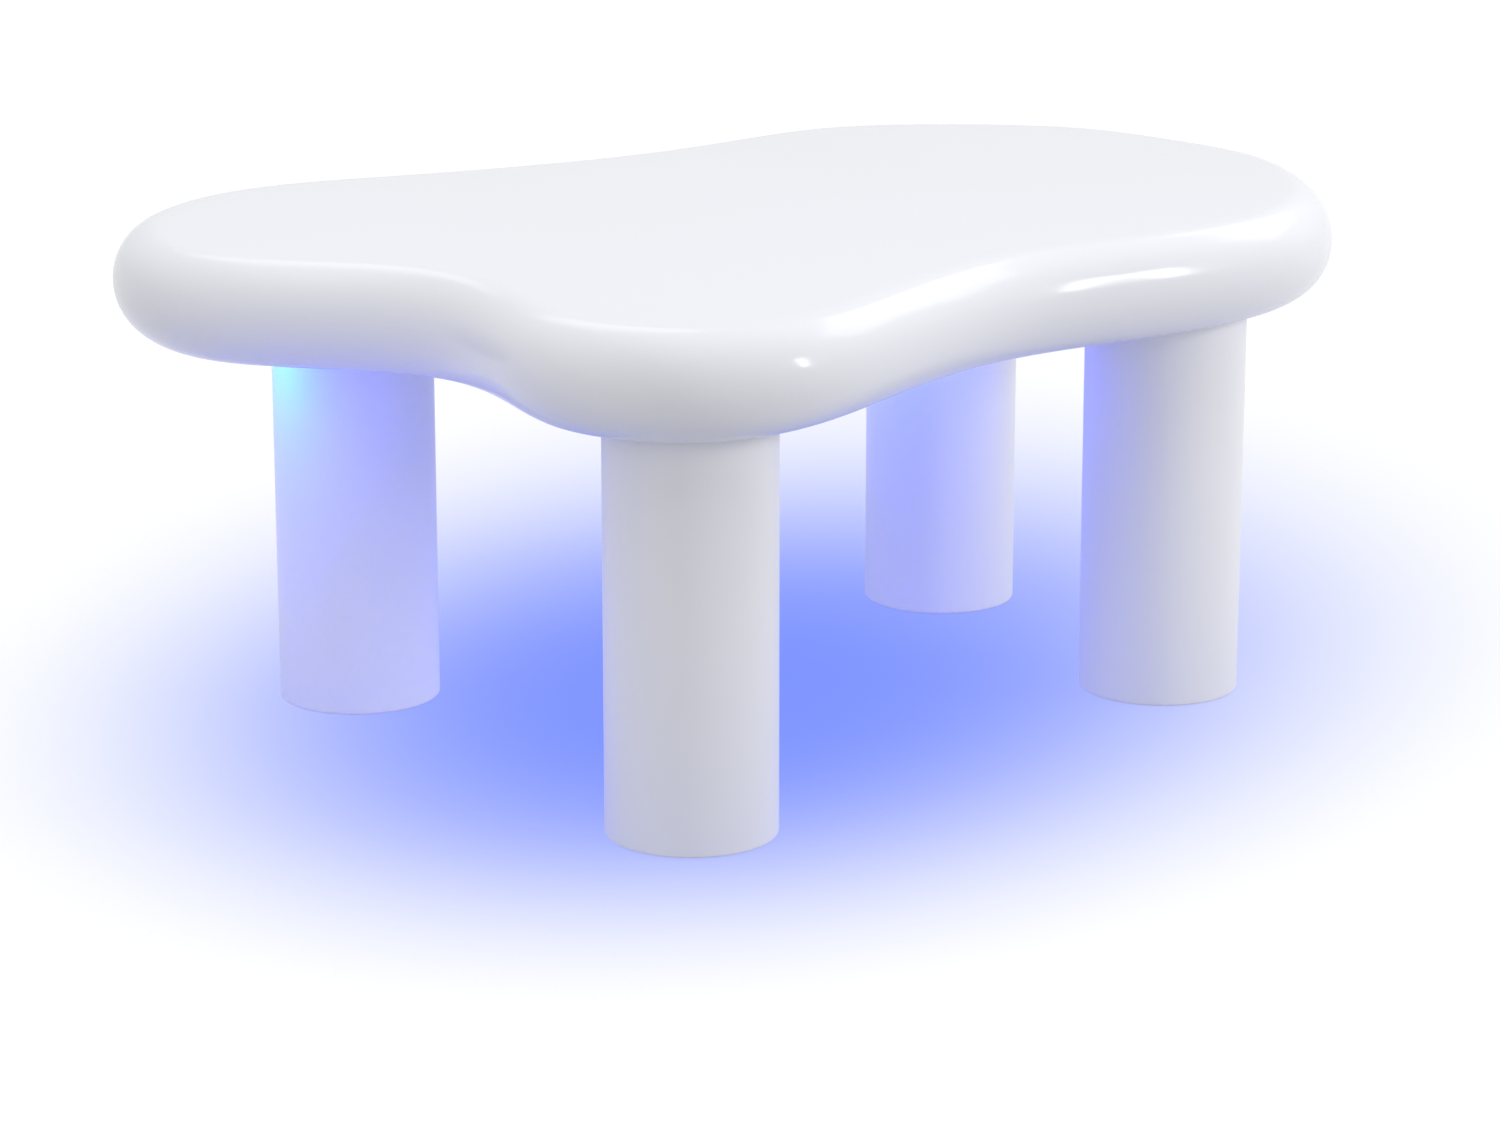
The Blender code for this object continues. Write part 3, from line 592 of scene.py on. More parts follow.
@dataclass(frozen=True)
class Foam(Finish):
    """Closed-cell foam cut from a sheet: skinned pores of two sizes."""

    pore_scale: float = 900.0
    pore_reach: Sequence[float] = (0.5, 0.1)
    pore_part: float = 0.6
    large_pore_scale: float = 300.0
    large_pore_reach: Sequence[float] = (0.35, 0.05)
    pore_depth: float = 0.00025
    pore_shade_share: float = 0.62
    pore_roughness: float = 0.1

    def surface(self, shader: ShaderTree) -> Inputs:
        """Pores are the cells' hollows, deeper in their middles, with painted shade that darkens them there.

        Args:
            shader: The material's tree.

        Returns:
            Socket names and what goes into them.
        """
        place = shader.place()
        small = shader.cell_distance(place, self.pore_scale).step(*self.pore_reach)
        large = shader.cell_distance(place, self.large_pore_scale).step(*self.large_pore_reach)
        hollow = small * self.pore_part + large * (1 - self.pore_part)
        return {
            # Painted shade: the pores' colour is darkened towards their middles, where shade falls in the
            # hollows.
            "Base Color": shader.blend(hollow, self.colour, self.tinted(self.pore_shade_share)),
            "Roughness": self.roughness + hollow * self.pore_roughness,
            "Normal": shader.bump(1 - hollow, self.pore_depth),
        }


@dataclass(frozen=True)
class Silicone(Finish):
    """Drawn silicone: dull and even, with lines along its route and dust that clings to it."""

    line_angle_per_metre: float = 9000.0
    line_drift_scale: float = 30.0
    line_drift: float = 4.0
    line_part: float = 0.4
    dust_scale: float = 1100.0
    dust_band: Sequence[float] = (0.60, 0.78)
    dust_cover: float = 0.6
    dust_share: Sequence[float] = (0.86, 0.86, 0.84)
    dust_roughness: float = 0.2
    relief: float = 0.00004

    def surface(self, shader: ShaderTree) -> Inputs:
        """The lines are a wave across the route that wanders a little; the dust is fine and sparse.

        Args:
            shader: The material's tree.

        Returns:
            Socket names and what goes into them.
        """
        place = shader.place()
        drift = shader.noise(place, self.line_drift_scale) * self.line_drift
        lines = (shader.along()[1] * self.line_angle_per_metre + drift).wave()
        dust = shader.noise(place, self.dust_scale, detail=2.0).step(*self.dust_band)
        return {
            "Base Color": shader.blend(dust * self.dust_cover, self.colour, self.tinted(self.dust_share)),
            "Roughness": self.roughness + dust * self.dust_roughness,
            "Normal": shader.bump(lines * self.line_part + dust * (1 - self.line_part), self.relief),
        }


@dataclass(frozen=True)
class StripFilm(Finish):
    """White flexible circuit: two wide tracks under the film, and copper pads where it may be cut."""

    cut_pitch: float = 0.050
    cut_line_half: float = 0.00022
    pad_length: float = 0.0022
    pad_full_share: float = 0.92
    pad_row_pitch: float = 0.0022
    pad_row_band: Sequence[float] = (0.36, 0.32)
    pad_metal: float = 0.9
    pad_shine: float = 0.2
    track_middle: float = 0.0022
    track_half: float = 0.0013
    soft_edge: float = 0.0002
    track_cover: float = 0.5
    track_share: float = 0.9
    track_part: float = 0.5
    relief: float = 0.00003
    copper: Colour = (0.80, 0.42, 0.22)
    ink: Colour = (0.03, 0.03, 0.03)

    def surface(self, shader: ShaderTree) -> Inputs:
        """Pads repeat along the route at the cutting lines, and the tracks are faint bands along it.

        Args:
            shader: The material's tree.

        Returns:
            Socket names and what goes into them.
        """
        along, across = shader.along()
        from_cut = along.from_multiple(self.cut_pitch) * self.cut_pitch
        row = (across / self.pad_row_pitch).from_middle().step(*self.pad_row_band)
        pads = from_cut.step(self.pad_length, self.pad_length * self.pad_full_share) * row
        line = from_cut.step(self.cut_line_half, self.cut_line_half - self.soft_edge / 2)
        from_track = (across.size() - self.track_middle).size()
        tracks = from_track.step(self.track_half, self.track_half - self.soft_edge)
        film = shader.blend(tracks * self.track_cover, self.colour, self.tinted(self.track_share))
        return {
            "Base Color": shader.blend(line, shader.blend(pads, film, self.copper), self.ink),
            "Metallic": pads * self.pad_metal,
            "Roughness": self.roughness - pads * self.pad_shine,
            "Normal": shader.bump(tracks * self.track_part + pads * (1 - self.track_part), self.relief),
        }


@dataclass(frozen=True)
class LitDiffuser(Finish):
    """Milky silicone over the lit strip: the light is strongest in the middle and over each lamp."""

    half_width: float = 0.0049
    dot_reach: float = 0.5
    glow_reach: float = 1.25
    level_between_dots: float = 0.45
    level_at_edge: float = 0.35
    dot_whiteness: float = 0.45
    cloud_scale: float = 420.0
    cloud_level: float = 0.05
    cloud_roughness: float = 0.1
    relief: float = 0.00003
    strength: float = 1.0
    cyan_middle: Sequence[float] = (-0.372, 0.218)
    cyan_reach: float = 0.075

    def surface(self, shader: ShaderTree) -> Inputs:
        """Emission is a row of soft dots along the route, violet-blue but for one cyan stretch.

        Args:
            shader: The material's tree.

        Returns:
            Socket names and what goes into them.
        """
        place = shader.place()
        x, y, _ = shader.parts(place)
        along, across = shader.along()
        dots = along.from_multiple(LAMP_PITCH).step(self.dot_reach, 0.0)
        middle = (across.size() / self.half_width).step(self.glow_reach, 0.0)
        cloud = shader.noise(place, self.cloud_scale, detail=2.0)
        lengthwise = self.level_between_dots + dots * (1 - self.level_between_dots)
        crosswise = self.level_at_edge + middle * (1 - self.level_at_edge)
        level = lengthwise * crosswise + cloud.centred() * self.cloud_level
        away = ((x - self.cyan_middle[0]) ** 2 + (y - self.cyan_middle[1]) ** 2) ** 0.5
        hue = shader.blend(away.step(self.cyan_reach, 0.0), VIOLET_GLOW, CYAN_GLOW)
        pale = shader.blend(dots * middle * self.dot_whiteness, hue, WHITE)
        return {
            "Base Color": self.colour,
            "Roughness": self.roughness + cloud.centred() * self.cloud_roughness,
            "Emission Color": shader.blend(level, BLACK, pale),
            "Emission Strength": self.strength,
            "Normal": shader.bump(cloud, self.relief),
        }


@dataclass(frozen=True)
class MouldedPlastic(Finish):
    """Moulded plastic with the fine grain that an etched mould gives."""

    grain_scale: float = 2600.0
    grain_depth: float = 0.00003
    grain_roughness: float = 0.10
    handled_scale: float = 90.0
    handled_band: Sequence[float] = (0.5, 0.75)
    handled_share: Sequence[float] = (0.97, 0.96, 0.93)
    handled_shine: float = 0.08

    def surface(self, shader: ShaderTree) -> Inputs:
        """Grain is fine cells; handling polishes it in soft patches.

        Args:
            shader: The material's tree.

        Returns:
            Socket names and what goes into them.
        """
        place = shader.place()
        grain = shader.cell_distance(place, self.grain_scale, "SMOOTH_F1")
        handled = shader.noise(place, self.handled_scale, detail=2.0).step(*self.handled_band)
        return {
            "Base Color": shader.blend(handled, self.colour, self.tinted(self.handled_share)),
            "Roughness": self.roughness
            + grain.centred() * self.grain_roughness
            - handled * self.handled_shine,
            "Normal": shader.bump(grain, self.grain_depth),
        }


@dataclass(frozen=True)
class Laminate(Finish):
    """Circuit laminate: copper tracks under a coloured mask, and woven glass under that."""

    track_scale: float = 420.0
    track_disorder: float = 0.8
    track_band: Sequence[float] = (0.42, 0.50)
    track_share: Sequence[float] = (1.5, 1.7, 1.6)
    track_part: float = 0.8
    weave_angle_per_metre: float = 9000.0
    weave_share: float = 0.8
    weave_roughness: float = 0.08
    relief: float = 0.00004

    def surface(self, shader: ShaderTree) -> Inputs:
        """Tracks are the edges of square cells, the weave is two crossed waves.

        Args:
            shader: The material's tree.

        Returns:
            Socket names and what goes into them.
        """
        place = shader.place()
        x, y, _ = shader.parts(place)
        squares = shader.node(
            "ShaderNodeTexVoronoi",
            {"feature": "F1", "distance": "CHEBYCHEV"},
            {"Vector": place, "Scale": self.track_scale, "Randomness": self.track_disorder},
        )
        tracks = Value(shader, squares.outputs["Distance"]).step(*self.track_band)
        per_metre = self.weave_angle_per_metre
        weave = ((x * per_metre).sine() * (y * per_metre).sine()).raised()
        ground = shader.blend(weave, self.colour, self.tinted(self.weave_share))
        return {
            "Base Color": shader.blend(tracks, ground, self.tinted(self.track_share)),
            "Roughness": self.roughness + weave.centred() * self.weave_roughness,
            "Normal": shader.bump(tracks * self.track_part + weave * (1 - self.track_part), self.relief),
        }


GLOSS_LACQUER = GlossLacquer("gloss_white_lacquer", (0.84, 0.85, 0.905), 0.40)
SATIN_LACQUER = SatinLacquer("satin_white_lacquer", (0.865, 0.87, 0.915), 0.42)
UNDERSIDE_PAINT = RollerPaint("underside_paint", (0.78, 0.78, 0.79), 0.58)
FIBREBOARD = Fibreboard("bare_fibreboard", (0.46, 0.33, 0.21), 0.82)
ZINC_STEEL = Metal("zinc_plated_steel", (0.66, 0.67, 0.70), 0.26, (0.45, 0.47, 0.50))
BRASS = Metal("brass", (0.78, 0.58, 0.28), 0.28, (0.52, 0.37, 0.18))
FOOT_FOAM = Foam("foot_foam", (0.62, 0.62, 0.60), 0.85)
WHITE_SILICONE = Silicone("white_silicone", (0.80, 0.80, 0.80), 0.55)
STRIP_FILM = StripFilm("strip_film", (0.86, 0.86, 0.84), 0.38)
LIT_DIFFUSER = LitDiffuser("lit_diffuser", (0.75, 0.76, 0.82), 0.45)
CASE_PLASTIC = MouldedPlastic("white_case_plastic", (0.78, 0.78, 0.77), 0.45)
KEY_PLASTIC = MouldedPlastic("grey_key_plastic", (0.33, 0.34, 0.36), 0.50)
BOARD_LAMINATE = Laminate("board_laminate", (0.02, 0.16, 0.08), 0.38)
BLACK_PLASTIC = MouldedPlastic("black_plastic", (0.025, 0.025, 0.027), 0.42)
LEAD_SHEATH = MouldedPlastic("lead_sheath", (0.74, 0.74, 0.73), 0.50, 1400.0, 0.00002)


# Curves on the plan


def round_angles(count: int) -> np.ndarray:
    """Evenly spread angles round a full turn, in radians."""
    return np.arange(count) * FULL_TURN / count


def circle(angles: np.ndarray) -> np.ndarray:
    """The points of the unit circle at angles in radians."""
    return np.stack([np.cos(angles), np.sin(angles)], -1)


def neighbour_span(points: np.ndarray) -> np.ndarray:
    """At each point of a closed curve, the way from the point before it to the point after it."""
    return np.roll(points, -1, 0) - np.roll(points, 1, 0)


def step_lengths(points: np.ndarray) -> np.ndarray:
    """The distance from each point of a closed curve to the next."""
    return np.linalg.norm(np.roll(points, -1, 0) - points, axis=1)


def closed_curve(points: np.ndarray, count: int) -> np.ndarray:
    """A smooth closed curve through points: cubic pieces whose slope and bend agree where they meet.

    Args:
        points: The points, one row each.
        count: How many points the curve gets.

    Returns:
        The curve's points, evenly spread over the pieces.
    """
    number = len(points)
    index = np.arange(number)
    matrix = np.zeros((number, number))
    matrix[index, index] = 4
    matrix[index, (index + 1) % number] = 1
    matrix[index, (index - 1) % number] = 1
    slopes = np.linalg.solve(matrix, 3 * neighbour_span(points))
    way = np.arange(count) * number / count
    start = way.astype(int)
    end = (start + 1) % number
    part = (way - start)[:, None]
    keep = 2 * part**3 - 3 * part**2 + 1
    lean = part**3 - 2 * part**2 + part
    lean_end = part**3 - part**2
    return keep * points[start] + lean * slopes[start] + (1 - keep) * points[end] + lean_end * slopes[end]


def outward(points: np.ndarray) -> np.ndarray:
    """The unit normals of a closed level curve: the span of each point's neighbours, turned a quarter.

    Args:
        points: The curve's points, anticlockwise.

    Returns:
        One normal for each point.
    """
    along = neighbour_span(points)
    along = along / np.linalg.norm(along, axis=1)[:, None]
    return np.stack([along[:, 1], -along[:, 0]], 1)


def by_angle(points: np.ndarray, angles: np.ndarray) -> np.ndarray:
    """A closed curve read at angles round the origin, which sees the whole of it.

    Args:
        points: The curve's points.
        angles: The angles, in radians.

    Returns:
        One point at each angle, as far out as the curve lies there.
    """
    bearing = np.arctan2(points[:, 1], points[:, 0])
    reach = np.interp(angles, bearing, np.hypot(points[:, 0], points[:, 1]), period=FULL_TURN)
    return reach[:, None] * circle(angles)


def level(points: np.ndarray, height: Union[float, np.ndarray]) -> np.ndarray:
    """Plan points with a height as the third coordinate: one for all, or one for each."""
    return np.concatenate([points, np.broadcast_to(height, points.shape[:-1])[..., None]], -1)


def arc(
    middle: tuple[float, float], radius: float, start: float, end: float, count: int
) -> list[tuple[float, float]]:
    """Points on an arc of a profile, from one angle in degrees to another."""
    angle = np.radians(np.linspace(start, end, count))
    return [(middle[0] + radius * math.cos(a), middle[1] + radius * math.sin(a)) for a in angle]


def rounded_line(reach: Sequence[float], corner: float, inset: float, arc_count: int = 9) -> np.ndarray:
    """A rectangle with round corners, moved in by an inset: quarter circles about four fixed middles.

    Args:
        reach: Half the rectangle's length and width.
        corner: The corners' radius before it is moved in.
        inset: How far it is moved in, less than the radius.
        arc_count: Points on each corner.

    Returns:
        The outline's points round the origin, anticlockwise.
    """
    angle = round_angles(4)[:, None] + np.linspace(0, FULL_TURN / 4, arc_count)
    sign = np.array([(1, 1), (-1, 1), (-1, -1), (1, -1)])
    middles = sign * (np.array(reach) - corner)
    return (middles[:, None] + (corner - inset) * circle(angle)).reshape(-1, 2)


# Surfaces on a grid


class Ends(Enum):
    """How the first and last rows of a grid are closed."""

    JOINED = "joined"
    POLES = "poles"
    CAPS = "caps"


def smoothed(mesh: bpy.types.Mesh) -> bpy.types.Mesh:
    """The mesh, shaded smooth but for its sharp edges.

    Args:
        mesh: The mesh.

    Returns:
        The same mesh.
    """
    mesh.shade_smooth()
    mesh.set_sharp_from_angle(angle=SHARP_ANGLE)
    return mesh


def volume_inside(points: np.ndarray, faces: list[list[int]]) -> float:
    """The volume inside faces: a sixth of the sum of the triple products of their triangles' corners.

    Args:
        points: The points, one row each.
        faces: Each face's point numbers.

    Returns:
        The volume, above 0 where the faces point outwards.
    """
    total = 0.0
    for corners in {len(face) for face in faces}:
        same = np.array([face for face in faces if len(face) == corners])
        first = points[same[:, 0]]
        for step in range(1, corners - 1):
            turn = np.cross(points[same[:, step]], points[same[:, step + 1]])
            total += float(np.sum(first * turn))
    return total / 6


def grid_mesh(
    name: str,
    points: np.ndarray,
    ends: Ends,
    spread: Optional[tuple[np.ndarray, np.ndarray]] = None,
) -> bpy.types.Mesh:
    """A closed mesh on a grid whose columns run round and join.

    Args:
        name: The mesh's name.
        points: Rows by columns by three coordinates.
        ends: How the rows end: joined into a ring, drawn to a pole in the middle, or closed with a face.
        spread: For a UV map, each row's u and each column's v. Both have one more value, for the seam.

    Returns:
        The mesh, smooth but for its sharp edges.
    """
    rows, columns = points.shape[:2]
    spans = rows if ends is Ends.JOINED else rows - 1
    row, column = np.meshgrid(np.arange(spans), np.arange(columns), indexing="ij")
    corner_rows = np.stack([row, row, row + 1, row + 1], -1).reshape(-1, 4)
    corner_columns = np.stack([column, column + 1, column + 1, column], -1).reshape(-1, 4)
    faces = ((corner_rows % rows) * columns + corner_columns % columns).tolist()
    flat = points.reshape(-1, 3)
    ring = np.arange(columns)
    last = (rows - 1) * columns
    if ends is Ends.POLES:
        poles = np.stack([points[0].mean(0), points[-1].mean(0)])
        after = (ring + 1) % columns
        faces += np.stack([np.full(columns, len(flat)), after, ring], 1).tolist()
        faces += np.stack([np.full(columns, len(flat) + 1), last + ring, last + after], 1).tolist()
        flat = np.vstack([flat, poles])
    if ends is Ends.CAPS:
        faces.append(ring[::-1].tolist())
        faces.append((last + ring).tolist())
    turned = volume_inside(flat, faces) < 0
    if turned:
        faces = [face[::-1] for face in faces]
    mesh = bpy.data.meshes.new(name)
    mesh.from_pydata(flat.tolist(), [], faces)
    if spread is not None:
        layer = mesh.uv_layers.new(name=UV_NAME)
        if turned:
            corner_rows = corner_rows[:, ::-1]
            corner_columns = corner_columns[:, ::-1]
        values = np.zeros((len(mesh.loops), 2))
        values[: corner_rows.size, 0] = spread[0][corner_rows.ravel()]
        values[: corner_rows.size, 1] = spread[1][corner_columns.ravel()]
        layer.data.foreach_set("uv", values.astype(np.float32).ravel())
    return smoothed(mesh)


def turned_mesh(name: str, profile: Sequence[tuple[float, float]], steps: int, ends: Ends) -> bpy.types.Mesh:
    """A profile carried round the upright axis through the origin.

    Each point of the surface is a point of the unit circle times a radius of the profile, at its height.

    Args:
        name: The mesh's name.
        profile: The profile's points, radius and height.
        steps: Points round the axis.
        ends: How the profile's two ends are closed.

    Returns:
        The mesh.
    """
    radius, height = np.array(profile).T
    plan = radius[:, None, None] * circle(round_angles(steps))
    return grid_mesh(name, level(plan, height[:, None]), ends)


def carried_mesh(
    name: str, route: np.ndarray, section: Sequence[tuple[float, float]], ends: Ends = Ends.JOINED
) -> bpy.types.Mesh:
    """A closed section of (across, height) points carried along a level route.

    Each point of the surface is the route's point, moved along its outward normal by the section's first
    number and lifted to its second. The UV map holds metres along the route and metres across it.

    Args:
        name: The mesh's name.
        route: The route's plan points.
        section: The section's points, across and up.
        ends: JOINED for a closed route, CAPS for an open one.

    Returns:
        The mesh.
    """
    across, height = np.array(section).T
    normals = outward(route)
    if ends is not Ends.JOINED:
        normals[0] = normals[1]
        normals[-1] = normals[-2]
    plan = route[:, None, :] + across[None, :, None] * normals[:, None, :]
    spread = (np.concatenate([[0.0], np.cumsum(step_lengths(route))]), np.append(across, across[0]))
    return grid_mesh(name, level(plan, height), ends, spread)


def rounded_box(
    name: str,
    box: tuple[np.ndarray, np.ndarray],
    corner: float,
    low_edge: float,
    high_edge: float,
    edge_count: int = 6,
) -> bpy.types.Mesh:
    """A box whose upright edges, and whose lower and upper rims, are round.

    Each row is the rounded rectangle at a height, moved in where a quarter circle rounds the rim.

    Args:
        name: The mesh's name.
        box: Its lowest and highest corners.
        corner: The radius of its upright edges.
        low_edge: The radius of its lower rim.
        high_edge: The radius of its upper rim.
        edge_count: Rows on each rim.

    Returns:
        The mesh, in place.
    """
    low, high = box
    reach = (high - low)[:2] / 2
    turn = np.radians(np.linspace(0, 90, edge_count))
    lower = [(low_edge * (1 - math.cos(a)), low[2] + low_edge * (1 - math.sin(a))) for a in turn]
    upper = [(high_edge * (1 - math.cos(a)), high[2] - high_edge * (1 - math.sin(a))) for a in turn]
    lines = [(rounded_line(reach, corner, inset), height) for inset, height in upper[::-1] + lower]
    lines = [(lines[0][0] * POLE_SHARE, high[2]), *lines, (lines[-1][0] * POLE_SHARE, low[2])]
    rows = np.stack([level(line, height) for line, height in lines])
    return moved(grid_mesh(name, rows, Ends.POLES), (*((low + high) / 2)[:2], 0))


# Work on finished meshes


def points_of(mesh: bpy.types.Mesh) -> np.ndarray:
    """A mesh's points, one row each.

    Args:
        mesh: The mesh.

    Returns:
        The points.
    """
    points = np.empty(len(mesh.vertices) * 3)
    mesh.vertices.foreach_get("co", points)
    return points.reshape(-1, 3)


def moved(mesh: bpy.types.Mesh, place: Sequence[float]) -> bpy.types.Mesh:
    """The mesh, shifted to a place.

    Args:
        mesh: The mesh.
        place: How far it is shifted along each axis.

    Returns:
        The same mesh.
    """
    points = points_of(mesh) + np.array(place)
    mesh.vertices.foreach_set("co", points.ravel())
    mesh.update()
    return mesh


def arrays_of(mesh: bpy.types.Mesh) -> tuple[np.ndarray, np.ndarray, np.ndarray]:
    """What a mesh is made of.

    Args:
        mesh: The mesh.

    Returns:
        Its points, how many corners each face has, and each corner's point number.
    """
    counts = np.empty(len(mesh.polygons), dtype=int)
    mesh.polygons.foreach_get("loop_total", counts)
    corners = np.empty(len(mesh.loops), dtype=int)
    mesh.loops.foreach_get("vertex_index", corners)
    return points_of(mesh), counts, corners


def mesh_of(name: str, points: np.ndarray, counts: np.ndarray, corners: np.ndarray) -> bpy.types.Mesh:
    """A mesh from the arrays that arrays_of gives.

    Args:
        name: The mesh's name.
        points: The points, one row each.
        counts: How many corners each face has.
        corners: The corners' point numbers, face after face.

    Returns:
        The mesh, smooth but for its sharp edges.
    """
    mesh = bpy.data.meshes.new(name)
    mesh.vertices.add(len(points))
    mesh.vertices.foreach_set("co", points.astype(np.float32).ravel())
    mesh.loops.add(len(corners))
    mesh.loops.foreach_set("vertex_index", corners.astype(np.int32))
    mesh.polygons.add(len(counts))
    mesh.polygons.foreach_set("loop_start", (np.cumsum(counts) - counts).astype(np.int32))
    mesh.update(calc_edges=True)
    return smoothed(mesh)


def joined(name: str, meshes: Sequence[bpy.types.Mesh]) -> bpy.types.Mesh:
    """Several meshes as one.

    Args:
        name: The new mesh's name.
        meshes: The single ones, which are removed.

    Returns:
        The new mesh.
    """
    points, counts, corners = zip(*[arrays_of(mesh) for mesh in meshes])
    starts = np.cumsum([0] + [len(part) for part in points[:-1]])
    shifted = [part + start for part, start in zip(corners, starts)]
    for mesh in meshes:
        bpy.data.meshes.remove(mesh)
    return mesh_of(name, np.concatenate(points), np.concatenate(counts), np.concatenate(shifted))


def cut(mesh: bpy.types.Mesh, cutters: Sequence[bpy.types.Mesh]) -> bpy.types.Mesh:
    """The mesh less the room that the cutters take.

    Args:
        mesh: The closed mesh that is cut. It is removed.
        cutters: Closed meshes that don't overlap each other. They are removed too.

    Returns:
        The cut mesh, under the same name.
    """
    name = mesh.name
    whole = bpy.data.objects.new("cut_work", mesh)
    tool = bpy.data.objects.new("cut_tool", joined("cut_tool", cutters))
    for obj in (whole, tool):
        bpy.context.scene.collection.objects.link(obj)
    modifier = whole.modifiers.new("cut", "BOOLEAN")
    modifier.object = tool
    modifier.solver = "EXACT"
    made = bpy.data.meshes.new_from_object(whole.evaluated_get(bpy.context.evaluated_depsgraph_get()))
    for obj in (whole, tool):
        data = obj.data
        bpy.data.objects.remove(obj)
        bpy.data.meshes.remove(data)
    made.name = name
    return smoothed(made)


def add_piece(
    name: str,
    mesh: bpy.types.Mesh,
    finish: Finish,
    replaced: Sequence[str] = (),
    body: str = TABLE_BODY,
) -> None:
    """Puts a piece into the scene and ties it to the frame.

    Args:
        name: The piece's name.
        mesh: Its mesh, with its place in it.
        finish: Its finish, whose name is also its slot.
        replaced: The frame's nodes that it stands for.
        body: The body that it moves with.
    """
    obj = bpy.data.objects.new(name, mesh)
    bpy.context.scene.collection.objects.link(obj)
    mesh.materials.append(finish.material())
    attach(obj, body)
    if replaced:
        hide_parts(*replaced)
    LOG.info("piece %s: %d faces, %s, for %s", name, len(mesh.polygons), finish.name, list(replaced))


# What is read from the frame


def node_points(node: bpy.types.Object) -> np.ndarray:
    """A frame node's vertices, each place once."""
    return np.unique(np.round(points_of(node.data), PLACE_DIGITS), axis=0)


def round_the_origin(points: np.ndarray) -> np.ndarray:
    """Plan points in the order in which a line from the origin meets them, anticlockwise."""
    return points[np.argsort(np.arctan2(points[:, 1], points[:, 0]))]


def middle_of(node: str) -> np.ndarray:
    """The middle of a frame node's box, on the plan."""
    low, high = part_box(node)
    return np.array((low + high) / 2)[:2]


def corners_of(node: str) -> tuple[np.ndarray, np.ndarray]:
    """A frame node's lowest and highest corners as arrays."""
    low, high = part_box(node)
    return np.array(low), np.array(high)


# The table's own sub-assemblies


class ColumnName(Enum):
    """The four columns, by where they stand."""

    BACK_LEFT = "back_left"
    FRONT_LEFT = "front_left"
    BACK_RIGHT = "back_right"
    FRONT_RIGHT = "front_right"


class KeyName(Enum):
    """The controller's three push buttons."""

    POWER = "power"
    COLOUR = "colour"
    BRIGHTNESS = "brightness"


@dataclass
class Screw:
    """A countersunk screw that stands up from its flat head, over its own node."""

    node: str
    head_radius: float = 0.0040
    head_height: float = 0.0024
    shank_radius: float = 0.0020
    rim_height: float = 0.0003
    tip_length: float = 0.0030
    recess_depth: float = 0.0015
    arm_reach: float = 0.0024
    arm_half: float = 0.0006
    arm_round: float = 0.0003
    overrun: float = 0.0010
    steps: int = 72

    def __post_init__(self) -> None:
        """Reads the screw's place and length from the frame."""
        low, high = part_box(self.node)
        self.place = (*middle_of(self.node), low.z)
        self.length = high.z - low.z

    def mesh(self) -> bpy.types.Mesh:
        """The screw, turned from its section, less a cross recess of two arms with rounded corners.

        Returns:
            The mesh, in place.
        """
        profile = [
            (POLE_RADIUS, self.length),
            (self.shank_radius, self.length - self.tip_length),
            (self.shank_radius, self.head_height),
            (self.head_radius, self.rim_height),
            (self.head_radius - self.rim_height, 0.0),
            (POLE_RADIUS, 0.0),
        ]
        mesh = turned_mesh(self.node, profile, self.steps, Ends.POLES)
        for reach in ((self.arm_reach, self.arm_half), (self.arm_half, self.arm_reach)):
            box = (np.array((-reach[0], -reach[1], -self.overrun)), np.array((*reach, self.recess_depth)))
            mesh = cut(mesh, [rounded_box("arm", box, self.arm_round, self.arm_round, self.arm_round)])
        return moved(mesh, self.place)

    def sink(self) -> bpy.types.Mesh:
        """The room that the screw takes in what it holds.

        Returns:
            The room's mesh, in place, as a cutter.
        """
        shank = self.shank_radius + SEAT_GAP
        head = self.head_radius + SEAT_GAP
        top = self.length + SEAT_GAP
        profile = [
            (POLE_RADIUS, top),
            (shank, top),
            (shank, self.head_height),
            (head, 0.0),
            (head, -self.overrun),
            (POLE_RADIUS, -self.overrun),
        ]
        return moved(turned_mesh(f"{self.node}_sink", profile, self.steps, Ends.POLES), self.place)


def add_screws(nodes: Sequence[str]) -> None:
    """Screws, each over its own node."""
    for node in nodes:
        add_piece(f"{node}_steel", Screw(node).mesh(), ZINC_STEEL, [node])


